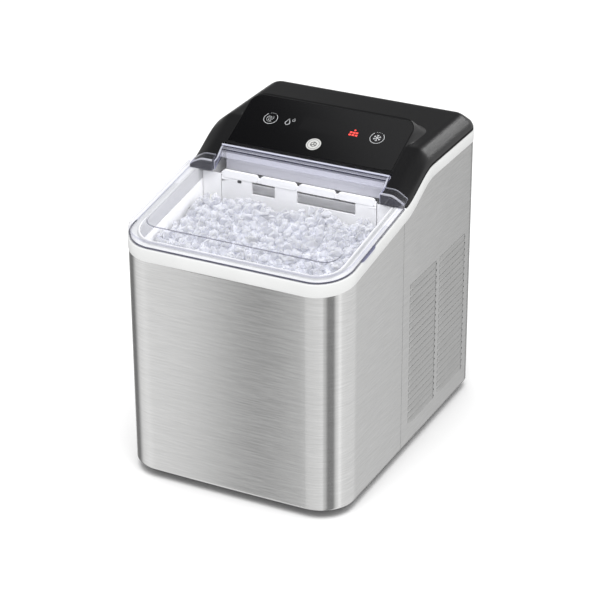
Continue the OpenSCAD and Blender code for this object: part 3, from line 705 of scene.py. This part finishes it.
def cover_shell():
    """Rear cover: its bevelled edge all round, the cheeks beside the console and the top."""
    x, y1 = HALF_W - 0.3, DEPTH - 0.3
    corners = [(x, CHEEK_Y, 0), (x, y1, REAR_R), (-x, y1, REAR_R), (-x, CHEEK_Y, 0)]
    path = plan_path(corners, (58, 60, 58), 20)
    verts, faces = loft([[(*(p - n * i), z) for i, z in cover_shape(p.y)] for p, n in path])
    m, n = len(cover_shape(0)), len(path)
    top = range(m - 1, n * m, m)
    across = next(i for i in range(n) if path[i][0].y > y1 - 0.01)
    for a in range(across):
        b = a + 1
        ends = (path[a][0].y, path[b][0].y)
        if ends[1] <= CONSOLE_Y:
            base = len(verts)
            for y in ends:
                for side in (1, -1):
                    verts.append((side * CHEEK_IN, y, cheek_z(y)))
                    verts.append((side * CHEEK_IN, y, band_z(y) + 0.1))
            faces += [(top[a], top[b], base + 4, base), (base, base + 4, base + 5, base + 1),
                      (top[-1 - a], base + 2, base + 6, top[-1 - b]),
                      (base + 2, base + 3, base + 7, base + 6)]
        elif b < across:
            faces.append((top[a], top[b], top[-1 - b], top[-1 - a]))
        else:
            faces.append(tuple(top[a:n - a]))
    for station, side in ((0, 1), (n - 1, -1)):
        base = len(verts)
        verts.append((side * CHEEK_IN, CHEEK_Y, cheek_z(CHEEK_Y)))
        verts.append((side * CHEEK_IN, CHEEK_Y, band_z(CHEEK_Y) + 0.12))
        faces.append(tuple(station * m + j for j in range(m)) + (base, base + 1))
    cover = piece("rear_cover", (verts, faces), "housing", [SLOTS["black_cover"], DARK],
                  "black_cover", ["top_cover"], sharp=40)
    # The upright strip below the crease is darker
    for face in cover.data.polygons:
        y, z = local_y(face.center.y), face.center.z / MM
        outside = abs(face.normal.z) < 0.25 and abs(face.center.x / MM) > CHEEK_IN + 1
        face.material_index = int(outside and z < band_z(y) + crease_up(y) and y > CHEEK_Y + 0.2)


def console():
    """The raised console: a rim round the glass, side walls and the sloping rear."""
    w, r, rim, foot = CONSOLE_HALF, 15, CONSOLE_RIM_Y, CONSOLE_FOOT_Y
    glass_y = CONSOLE_Y + GLASS_LEN * math.cos(math.atan(CONSOLE_SLOPE))

    def loop(half, rear_y, radius, height):
        corners = [(half, CONSOLE_Y, 0), (half, rear_y, radius), (-half, rear_y, radius),
                   (-half, CONSOLE_Y, 0)]
        return [(p.x, p.y, height(p.y)) for p, _ in plan_path(corners, (24, 30, 24), 18)]

    roll = 1.1
    loops = [loop(half, rear_y, radius, lambda y, lift=lift: console_z(y) + lift)
             for half, rear_y, radius, lift in (
                 (GLASS_HALF + 0.25, glass_y + 0.25, 11, -1.8),
                 (GLASS_HALF + 0.25, glass_y + 0.25, 11, -0.2),
                 (GLASS_HALF + 0.45, glass_y + 0.45, 11.2, 0.02),
                 (w - 1.3, rim - 1.6, r - 1.4, 0.05), (w - 0.45, rim - 0.6, r - 0.6, -0.2),
                 (w, rim, r, -roll))]
    top = console_z(rim) - roll
    for t in (0.1, 0.3, 0.5, 0.7, 0.86, 0.95, 1.0):
        sink = 1 - (1 - t) ** 1.15

        def wall(y, sink=sink):
            upper = min(console_z(y) - roll, top)
            lower = cheek_z(y) - 0.5
            return upper if upper < lower else upper + (lower - upper) * sink

        loops.append(loop(w + 3.5 * t ** 2, rim + (foot - rim) * t, r + 4 * t, wall))
    verts, faces = loft(loops)
    # Front edge of the panel's bed, behind the lid's back edge
    base = len(verts)
    for side in (1, -1):
        for z in (CONSOLE_Z - 0.3, CONSOLE_Z - 4.8):
            verts.append((side * (CHEEK_IN - 0.1), CONSOLE_Y, z))
    faces.append((base, base + 1, base + 3, base + 2))
    piece("console", (verts, faces), "housing", slot="black_cover", sharp=35)


# ---- Print and lamps on the control panel ----


def on_panel(u, v, lift=0.06):
    """A place on the control panel: u across from the middle, v up the slope."""
    tilt = math.atan(CONSOLE_SLOPE)
    return (u, CONSOLE_Y + v * math.cos(tilt) - lift * math.sin(tilt),
            CONSOLE_Z + v * math.sin(tilt) + lift * math.cos(tilt))


def stroke(points, width, closed=False):
    """A flat ribbon along points (u, v) of the panel."""
    pts = [Vector(p) for p in points]
    n = len(pts)
    sides = []
    for i, p in enumerate(pts):
        before = pts[i - 1] if closed or i else p
        after = pts[(i + 1) % n] if closed or i + 1 < n else p
        way = (after - before).normalized()
        normal = Vector((-way.y, way.x)) * width / 2
        sides.append((p + normal, p - normal))
    verts = [on_panel(*q) for pair in sides for q in pair]
    faces = []
    for i in range(n if closed else n - 1):
        k = (i + 1) % n
        faces.append((2 * i, 2 * i + 1, 2 * k + 1, 2 * k))
    return verts, faces


def patch(points):
    """A flat filled shape on the panel."""
    return [on_panel(u, v) for u, v in points], [tuple(range(len(points)))]


def drop(u, v, size):
    """Outline of a water drop, closed."""
    points = arc(u, v, size, -215, 35, 24)
    return points + [(u, v + 2.3 * size)]


RING_U, RING_V, RING_R = 55.4, 36, 6.8


def housing_print(name, parts, material, slot=None):
    """A printed or lit mark on the control panel."""
    piece(name, join(parts), "housing", material, slot, merge=0.0001)


def panel_print():
    """The two ringed touch keys, with dashes round them, and the pair of drops."""
    parts = []
    for side in (-1, 1):
        u = side * RING_U
        parts.append(stroke(arc(u, RING_V, RING_R, -230, 50), 0.33))
        for angle in (66, 80, 94, 108):
            parts.append(stroke(arc(u, RING_V, RING_R, angle - 3, angle + 3, 4), 0.26))
    # Swirl of the left touch key
    for turn in (0, 120, 240):
        spiral = [polar(-RING_U, RING_V, 0.6 + k / 4, turn + 15 * k) for k in range(13)]
        parts.append(stroke(spiral, 0.24))
    parts.append(stroke(arc(-RING_U, RING_V, 4.1, 120, 300, 24), 0.16))
    # Snowflake of the right touch key
    branch = 1.2 * math.sqrt(2)
    for angle in range(30, 390, 60):
        fork = polar(RING_U, RING_V, 2.3, angle)
        parts.append(stroke([(RING_U, RING_V), polar(RING_U, RING_V, 3.9, angle)], 0.36))
        for turn in (-45, 45):
            parts.append(stroke([fork, polar(*fork, branch, angle + turn)], 0.28))
    # Two drops
    parts.append(stroke(drop(-36.9, 34.4, 2.3), 0.4, closed=True))
    parts.append(stroke(drop(-31.9, 38.2, 1.2), 0.26, closed=True))
    housing_print("panel_print", parts, PRINT, "white_plastic")


def red_tray():
    """Lit symbol of an ice tray with a cube above it."""
    u, v = 31.4, 35.6
    parts = []
    for row in (-1.5, 1.5):
        for col in (-1, 0, 1):
            x, y = u + col * (3.1 - 0.1 * row), v + row
            parts.append(patch([(x - 1.2, y - 0.9), (x + 1.2, y - 0.9),
                                (x + 1.1, y + 0.9), (x - 1.1, y + 0.9)]))
    parts.append(patch(arc(u, v + 4.6, 0.95, 0, 315, 7)))
    housing_print("full_lamp", parts, RED_LAMP)


def display_tint():
    """The display's window, a shade paler than the panel round it."""
    half, tall, u, v = 22, 8.5, -1.5, 37.5
    window = patch([(u - half, v - tall), (u + half, v - tall), (u + half, v + tall),
                    (u - half, v + tall)])
    housing_print("display_tint", [window], WINDOW_TINT, "panel_gloss")


def emblem():
    """A plain round badge: a pale disc with a ring and a small cube outline of its own."""
    u, v, cube = -0.7, 14.6, 3.0
    housing_print("badge", [patch(arc(u, v, 7.2, 0, 352.5, 47))], PALE_PRINT, "white_plastic")
    lines = [stroke(arc(u, v, 5.7, 0, 352.5, 47), 0.4, closed=True),
             stroke(arc(u, v, cube, 30, 330, 5), 0.8, closed=True)]
    lines += [stroke([(u, v), polar(u, v, cube, angle)], 0.8) for angle in (90, 210, 330)]
    verts, faces = join(lines)
    raised = [(x, y - 0.02, z + 0.05) for x, y, z in verts]
    housing_print("badge_lines", [(raised, faces)], DARK, "black_plastic")


# ---- Clear lid ----


RISER_WAY = Vector((LID_BACK[0] - LID_END_Y, LID_BACK[1] - lid_z(LID_END_Y))).normalized()


def on_riser(s, lift=0):
    """A place (y, z) on the riser, s along its slope from the bend."""
    return (LID_END_Y + s * RISER_WAY[0] - lift * RISER_WAY[1],
            lid_z(LID_END_Y) + s * RISER_WAY[1] + lift * RISER_WAY[0])


def lid_shell():
    """Skirt, top plate with its raised field, riser and ribbed back edge, as one skin."""
    end = 136.4

    def outline(half, front, radius, height):
        corners = [(half, end, 0), (half, front, radius), (-half, front, radius), (-half, end, 0)]
        return [(p.x, p.y, height(p.y)) for p, _ in plan_path(corners, (20, 12, 20), 16)]

    gap, field, field_x, field_y, field_r = 0.8, 0.7, 97, 21.2, 14.6
    loops = [outline(HALF_W - gap - inset, gap + inset, FRONT_R - gap - inset,
                     lambda y, base=base, lift=lift: base(y) + lift)
             for inset, base, lift in (
                 (0.3, band_z, 0.3), (0, band_z, 0.7), (0, lid_z, -3.2), (0.25, lid_z, -2.0),
                 (0.9, lid_z, -0.95), (1.9, lid_z, -0.3), (3.3, lid_z, 0))]
    loops += [outline(field_x - inset, field_y + inset, field_r - inset,
                      lambda y, lift=lift: lid_z(y) + lift)
              for inset, lift in ((0, 0), (0.2, 0.1), (0.4, field - 0.1), (0.7, field))]
    loops.append(outline(RISER_HALF, 32, 6, lambda y: lid_z(y) + field))
    verts, faces = loft(loops)
    m = len(loops[0])
    base, straight = (len(loops) - 1) * m, 20
    for i in range(straight):
        faces.append((base + i, base + i + 1, base + m - 2 - i, base + m - 1 - i))
    faces.append(tuple(base + k for k in range(straight, m - straight)))
    riser = [(144.8, lid_z(144.8) + field)]
    riser += [on_riser(s, lift) for s, lift in (
        (0.4, 0.1), (2, 0), (8.8, 0), (9.0, -0.5), (9.9, -0.5), (10.1, 0.2), (12.5, 0.2),
        (12.7, -0.5), (13.5, -0.5), (13.7, 0.4), (14.8, 0.5), (15.3, 0.2), (15.4, -0.9))]
    last = (base, base + m - 1)
    for y, z in riser:
        here = (len(verts), len(verts) + 1)
        verts += [(RISER_HALF, y, z), (-RISER_HALF, y, z)]
        faces.append((last[0], here[0], here[1], last[1]))
        last = here
    # Painted dark and bright lines, shade and sheen go by place, from the clear copies above
    looks = [SLOTS["clear_plastic"], CLEAR_ROLL, CLEAR_RIM, CLEAR_LINE, CLEAR_RISER, CLEAR_STEP]
    shell = piece("lid_shell", (verts, faces), "lid", looks, "clear_plastic", ["lid"], sharp=50)
    plain, roll, rim, line, rise, step = range(6)
    for face in shell.data.polygons:
        y, z = local_y(face.center.y), face.center.z / MM
        level = z - lid_z(y)
        index = plain
        if level > 2:
            s = (y - LID_END_Y) * RISER_WAY[0] + (z - lid_z(LID_END_Y)) * RISER_WAY[1]
            index = rim if s > 13.6 else line if 8.9 < s < 10 or s > 12.6 else rise
        elif z < band_z(y) + 0.7:
            index = rim if face.center.x < 0 and y > 40 else line
        elif 0.12 < level < field - 0.02 and y < 36:
            index = step
        elif -3.2 < level < -0.9:
            index = roll
        face.material_index = index
    thicken(shell, 1.5, sharp=50)


def lid_ends():
    """End plates of the riser, which carry the hinge pins."""
    outline = [(139.5, band_z(139.5) + 0.6), (139.5, lid_z(139.5)), (145.5, lid_z(145.5) + 0.5),
               (153.6, 275.4), (158.4, 277.8), (158.9, 276.4), (156.5, 272.5), (155.6, 268),
               (152.5, 266.3), (148.5, 266.0), (145, 262.4)]
    parts = [plate(outline, s * 84.6, s * (RISER_HALF + 0.2)) for s in (1, -1)]
    ends = piece("lid_ends", join(parts), "lid", [CLEAR_EDGE, CLEAR_RIM], "clear_plastic")
    # Flat sides take the painted dark edge look, the rest the painted bright rim
    for face in ends.data.polygons:
        face.material_index = int(abs(face.normal.x) < 0.7)
    soften(ends, 0.4)


def wing_top(y, inset):
    """Height of the cover's surface below a wing, some way in from its edge."""
    shape = cover_shape(max(y, CHEEK_Y))
    for (i0, z0), (i1, z1) in zip(shape[4:], shape[5:]):
        if i0 <= inset <= i1:
            return z0 + (z1 - z0) * (inset - i0) / (i1 - i0)
    return shape[-1][1]


def lid_wings():
    """Caps over the front of the cover's cheeks."""
    foot = band_z(137) + 0.4
    parts = []
    for side in (1, -1):
        rings = []
        for inset in (1.9, 3, 5, 7.5, 10, 12.5, 15, 18, 22, 25.4):
            x = side * (HALF_W - 0.3 - inset)
            ring = [(x, 136.6, foot)]
            ring += [(x, y, wing_top(round(y), inset) + lift) for y, lift in (
                (136.6, 0.9), (137.1, 1.9), (138.2, 2.3), (142, 2.3), (145.2, 2.2), (145.9, 1.6),
                (145.9, 0.4), (140, 0.4), (138.9, 0.1))]
            rings.append(ring + [(x, 138.8, foot)])
        parts.append(capped(rings))
    looks = [SLOTS["clear_plastic"], CLEAR_EDGE, CLEAR_RIM, CLEAR_DARK]
    wings = piece("lid_wings", join(parts), "lid", looks, "clear_plastic", sharp=40)
    plain, edge, rim, dark = range(4)
    # Painted by place: dark edge look on the ends, bright rims, and a dark front face
    for face in wings.data.polygons:
        y, index = local_y(face.center.y), plain
        if abs(face.normal.x) > 0.7:
            index = edge
        elif y < 138.2 and abs(face.normal.z) > 0.3 or y > 145.2:
            index = rim
        elif y < 137:
            index = dark
        face.material_index = index


def finger_tab():
    """Small grip under the lid's right edge."""
    x, start, length, reach, steps = HALF_W - 0.9, 46, 28, 1.6, 12
    rings = []
    for k in range(steps + 1):
        y = start + length * k / steps
        out = reach * math.sqrt(max(0, 1 - (2 * k / steps - 1) ** 6))
        b = band_z(y) + 0.35
        rings.append([(x, y, b), (x + out, y, b + 0.1), (x + out, y, b + 1.6), (x, y, b + 2.3)])
    # The clear tab wears the painted dark edge look
    piece("finger_tab", capped(rings), "lid", CLEAR_EDGE, "clear_plastic")


# ---- Ice shovel ----

SHOVEL_HALF = high("ice_shovel").x
SHOVEL_TOP = high("ice_shovel").z
SHOVEL_WINDOWS = ((-48, -24), (-1, 59))
WINDOW_Z = (239, 251.6)
TAB_GAP = 3
TAB_REAR_Y = 143.3


def ice_comb():
    """The CAD shovel with its windows cut up to the tabs."""
    source = frame["nodes"]["ice_shovel"].data
    verts = [(v.co / MM) - Vector((0, ORIGIN_Y, 0)) for v in source.vertices]
    faces = [tuple(f.vertices) for f in source.polygons]
    comb = piece("ice_comb", (verts, faces), "shovel", slot="white_plastic",
                 replaces=["ice_shovel"])
    grow, y0, y1 = 0.05, 140, 148
    z0, z1 = WINDOW_Z[0] - grow, WINDOW_Z[1]
    holes = [plate([(y0, z0), (y1, z0), (y1, z1), (y0, z1)], x0 - grow, x1 + grow)
             for x0, x1 in SHOVEL_WINDOWS]
    tool = bpy.data.objects.new("cutter", clean_mesh("cutter", *join(holes)))
    bpy.context.scene.collection.objects.link(tool)
    cut = comb.modifiers.new("windows", "BOOLEAN")
    cut.operation = "DIFFERENCE"
    cut.solver = "EXACT"
    cut.object = tool
    apply_modifiers(comb, 32)
    bpy.data.objects.remove(tool)
    soften(comb, 0.5)


def slab(center, half, radius, front_y):
    """A rounded plate that faces the front, round an (x, z) place."""
    outline = []
    for start, sx, sz in ((0, 1, 1), (90, -1, 1), (180, -1, -1), (270, 1, -1)):
        outline += arc(center[0] + sx * (half[0] - radius), center[1] + sz * (half[1] - radius),
                       radius, start, start + 90, 6)
    return prism(outline, front_y, TAB_REAR_Y, lambda y, x, z: (x, y, z))


def shovel_tabs():
    """Raised faces of the four tabs, and the small dark eye under the first."""
    pitch = SHOVEL_HALF / 2
    middle_z, half_z = (WINDOW_Z[1] + SHOVEL_TOP) / 2, (SHOVEL_TOP - WINDOW_Z[1]) / 2
    tabs = [slab((pitch * (i - 1.5), middle_z), ((pitch - TAB_GAP) / 2, half_z), 2.6, 142.1)
            for i in range(4)]
    eye = slab((-61, 249.4), (2.1, 1.4), 1.2, 142.3)
    soften(piece("shovel_tabs", join(tabs), "shovel", slot="white_plastic"), 0.3)
    soften(piece("shovel_eye", eye, "shovel", slot="black_plastic"), 0.3)


def bin_guards():
    """White plates that close the bin's rear corners beside the shovel."""
    y0, y1, z0, z1, wall_x = 143.1, 144.1, 213, 254.2, 100.2
    outline = [(y0, z0), (y0, z1), (y1, z1), (y1, z0)]
    parts = [plate(outline, s * (SHOVEL_HALF + 0.8), s * wall_x) for s in (1, -1)]
    soften(piece("bin_guards", join(parts), "housing", slot="white_plastic"), 0.3)


# ---- Ice ----


def ice_chunk(rng):
    """One lump of ice: a rounded hull of a few points on a squashed ball."""
    bm = bmesh.new()
    for _ in range(15):
        d = Vector((rng.gauss(0, 1), rng.gauss(0, 1), rng.gauss(0, 1))).normalized()
        bm.verts.new(d * rng.uniform(0.82, 1.0))
    bmesh.ops.convex_hull(bm, input=bm.verts)
    bmesh.ops.delete(bm, geom=[v for v in bm.verts if not v.link_faces], context="VERTS")
    bmesh.ops.bevel(bm, geom=bm.edges[:], offset=0.13, segments=2, affect="EDGES", profile=0.6,
                    clamp_overlap=True)
    bm.verts.ensure_lookup_table()
    verts = [v.co.copy() for v in bm.verts]
    faces = [tuple(v.index for v in f.verts) for f in bm.faces]
    bm.free()
    return verts, faces


def heap_z(x, y):
    """Upper surface of the ice: level with the lid, lower along the left wall."""
    top = min(238.5 + 0.095 * (y - 15), 233.9 + 0.157 * y)
    left = max(0.0, (-35 - x) / 62)
    drop = 13 * left ** 1.6 * (1 - 0.35 * y / 130)
    wave = 1.6 * math.sin(x * 0.11 + 1.3) * math.sin(y * 0.09 + 0.4) - 1.2
    hollow = 6.5 * math.exp(-((x + 12) / 22) ** 2 - ((y - 128) / 14) ** 2)
    return top - drop + min(0, wave) - hollow


def ice_heap():
    """Two layers of loose lumps that fill the basket's outline."""
    rng = random.Random(7)
    kinds = [ice_chunk(rng) for _ in range(9)]
    parts = []
    spacing, jitter = 8.4, 2.4
    wall_x, front_y, rear_y = 99.3, 12.5, 133
    corner_x, corner_y, corner_r = 78, 34, 22
    for layer in range(2):
        for row in range(17):
            for col in range(27):
                x = -95 + spacing * (col + 0.5 * (row % 2)) + rng.uniform(-jitter, jitter)
                y = 17 + spacing * row * 0.93 + rng.uniform(-jitter, jitter)
                size = rng.uniform(4.4, 7.0)
                if abs(x) > wall_x - size or not front_y + size < y < rear_y - size:
                    continue
                dx, dy = abs(x) - corner_x, corner_y - y
                if dx > 0 and dy > 0 and dx ** 2 + dy ** 2 > (corner_r - size) ** 2:
                    continue
                z = heap_z(x, y) - size - layer * 6.2 - rng.uniform(0, 2.6)
                verts, faces = rng.choice(kinds)
                spin = Matrix.Rotation(rng.uniform(0, 6.28), 3, Vector(
                    (rng.gauss(0, 1), rng.gauss(0, 1), rng.gauss(0, 1))).normalized())
                stretch = Vector((rng.uniform(0.9, 1.25), rng.uniform(0.75, 1), rng.uniform(0.7, 1)))
                centre = Vector((x, y, z))
                parts.append(([centre + spin @ (v * stretch) * size for v in verts], faces))
    piece("ice_heap", join(parts), "basket", ICE, sharp=180, merge=0.00001)


def ice_bed():
    """The packed ice below the loose lumps, in a greyer white that paints the shade between them."""
    half, y0, y1, sink, nx, ny = 92, 18, 124, 10, 40, 26
    rows = []
    for x in [-half + 2 * half * i / nx for i in range(nx + 1)]:
        row = []
        for y in [y0 + (y1 - y0) * j / ny for j in range(ny + 1)]:
            bump = 1.4 * math.sin(x * 0.9 + 3 * math.sin(y * 0.31)) * math.sin(y * 0.8 + x * 0.13)
            row.append((x, y, heap_z(x, y) - sink + bump))
        rows.append(row)
    thicken(piece("ice_bed", loft(rows), "basket", PACKED_ICE, sharp=80), 8, sharp=80)


finish_cad_nodes()
front_panel()
for side in (1, -1):
    side_panel(side)
    louver_hoods(side)
    relief_holes(side)
top_frame()
cover_shell()
console()
panel_print()
red_tray()
display_tint()
emblem()
lid_shell()
lid_ends()
lid_wings()
finger_tab()
ice_comb()
shovel_tabs()
bin_guards()
ice_bed()
ice_heap()


# ---- Stage, light and camera ----


AROUND = [(-180, 0.36), (-170, 0.6), (-160, 0.66), (-140, 0.7), (-123, 0.66), (-120, 0.58),
          (-118, 0.16), (-117, 0.02), (-115, 0.56), (-97, 0.59), (-77, 0.62), (-62, 0.66),
          (-54, 0.46), (-42, 0.18), (-28, 0.18), (-16, 0.58), (-5, 0.82), (5, 0.66), (23, 0.62),
          (64, 0.6), (69, 0.28), (96, 0.12), (130, 0.08), (150, 0.14), (172, 0.16), (180, 0.36)]
OPEN_SIDE = [(-180, 0), (78, 0), (98, 0.42), (132, 0.42), (152, 0), (180, 0)]
LEVEL_GREY = 0.56


def studio():
    """Even white surroundings; only mirrored rays see the soft boxes and flags of AROUND.

    AROUND lists degrees from +X and how bright brushed steel looks that mirrors them.
    Level rays see a plain grey, and rays that go down see OPEN_SIDE as well.
    """
    world = bpy.data.worlds.new("studio")
    bpy.context.scene.world = world
    world.cycles.sampling_method = "NONE"
    world.use_nodes = True
    nodes, links = world.node_tree.nodes, world.node_tree.links
    nodes.clear()

    def node(kind, **sockets):
        return set_sockets(nodes.new("ShaderNode" + kind), **sockets)

    def mix(factor, first, second):
        made = node("MixShader")
        for socket, output in zip(made.inputs, (factor, first, second)):
            links.new(output, socket)
        return made.outputs["Shader"]

    def maths(operation, a, b):
        made = node("Math")
        made.operation = operation
        for socket, value in zip(made.inputs, (a, b)):
            if isinstance(value, (int, float)):
                socket.default_value = value
            else:
                links.new(value, socket)
        return made.outputs["Value"]

    white = (1, 1, 1, 1)
    backdrop = node("Background", Color=white, Strength=1.0)
    fill = node("Background", Color=white, Strength=0.75)
    seen = node("Background", Color=white)
    light = node("LightPath")
    split = node("SeparateXYZ")
    links.new(node("TexCoord").outputs["Generated"], split.inputs["Vector"])
    turn = maths("ARCTAN2", split.outputs["Y"], split.outputs["X"])
    way = maths("DIVIDE", maths("ADD", turn, math.pi), 2 * math.pi)

    def ring(levels):
        ramp = node("ValToRGB")
        ramp.color_ramp.interpolation = "EASE"
        stops = ramp.color_ramp.elements
        stops.remove(stops[0])
        for i, (degrees, bright) in enumerate(levels):
            stop = stops[0] if i == 0 else stops.new((degrees + 180) / 360)
            stop.position = (degrees + 180) / 360
            stop.color = (bright, bright, bright, 1)
        links.new(way, ramp.inputs["Fac"])
        return ramp.outputs["Color"]

    def fade(low_z, high_z, at_low, at_high):
        made = node("MapRange", From_Min=low_z, From_Max=high_z, To_Min=at_low, To_Max=at_high)
        made.interpolation_type = "SMOOTHSTEP"
        links.new(split.outputs["Z"], made.inputs["Value"])
        return made.outputs["Result"]

    shaped = maths("ADD", fade(-0.32, -0.12, 1, 0), fade(0.02, 0.2, 0, 1))
    sides = maths("MULTIPLY", maths("SUBTRACT", ring(AROUND), LEVEL_GREY), shaped)
    below = maths("MULTIPLY", ring(OPEN_SIDE), fade(-0.3, -0.1, 1, 0))
    sides = maths("ADD", maths("ADD", sides, LEVEL_GREY), below)
    links.new(maths("MULTIPLY", sides, fade(0.62, 0.86, 1.25, 0.15)), seen.inputs["Strength"])
    mirrored = mix(light.outputs["Is Glossy Ray"], fill.outputs["Background"],
                   seen.outputs["Background"])
    direct = mix(light.outputs["Is Camera Ray"], mirrored, backdrop.outputs["Background"])
    links.new(direct, node("OutputWorld").inputs["Surface"])


def floor():
    """A plain pale floor, which the steel doesn't mirror."""
    mesh = bpy.data.meshes.new("floor")
    size = 6
    mesh.from_pydata([(-size, -size, 0), (size, -size, 0), (size, size, 0), (-size, size, 0)],
                     [], [(0, 1, 2, 3)])
    obj = bpy.data.objects.new("floor", mesh)
    bpy.context.scene.collection.objects.link(obj)
    s = Shader("paper", (0.93, 0.93, 0.93), 0.9, Specular_IOR_Level=0.0)
    s.vary_color(s.noise(3, 2), 0.995, 1.0)
    mesh.materials.append(s.mat)
    obj.visible_glossy = False


def area_light(name, place, target, watts, size=0.3, mirrored=False, only=()):
    """A soft box; with only, it lights just the pieces and CAD nodes named."""
    data = bpy.data.lights.new(name, "AREA")
    data.size = size
    data.energy = watts
    obj = bpy.data.objects.new(name, data)
    obj.location = place
    obj.rotation_euler = (Vector(target) - Vector(place)).to_track_quat("-Z", "Y").to_euler()
    obj.visible_glossy = mirrored
    obj.visible_camera = False
    if only:
        receivers = bpy.data.collections.new(name + "_receivers")
        for part in only:
            receivers.objects.link(frame["nodes"].get(part) or bpy.data.objects[part])
        obj.light_linking.receiver_collection = receivers
    bpy.context.scene.collection.objects.link(obj)


def camera():
    """A long lens from the front right and above."""
    data = bpy.data.cameras.new("camera")
    data.lens = 133.08
    data.sensor_width = 36
    obj = bpy.data.objects.new("camera", data)
    place = at(854.1, -1529.1, 1074.5)
    right = Vector((0.892, 0.4521, -0.0046)).normalized()
    ahead = Vector((-0.4065, 0.7975, -0.4458)).normalized()
    up = right.cross(ahead)
    turn = Matrix((right, up, -ahead)).transposed().to_4x4()
    obj.matrix_world = Matrix.Translation(place) @ turn
    bpy.context.scene.collection.objects.link(obj)
    bpy.context.scene.camera = obj


studio()
floor()
area_light("key", (0.2, -0.35, 2.2), (0, 0, 0.2), 50, size=2)
area_light("rim", (0.79, 2.66, 1.7), (0.1, 0.1, 0.29), 8, size=0.6, mirrored=True,
           only=["rear_cover", "console"])
area_light("panel", (-0.894, 1.068, 2.97), (0, 0.04, 0.3), 1.8, size=1, mirrored=True,
           only=["panel_glass", "display_tint"])
area_light("ice", at(-220, 60, 520), at(-20, 80, 230), 0.3, only=["ice_heap", "ice_bed"])
area_light("bin_wall", at(260, -140, 520), at(-60, 70, 225), 3.2, only=["inner_liner"])
area_light("bin", at(200, -180, 520), at(0, 90, 235), 1.6,
           only=["ice_comb", "shovel_tabs", "bin_guards", "ice_basket", "bin_fascia",
                 "evaporator_bracket"])
camera()
bpy.context.scene.view_settings.view_transform = "Standard"
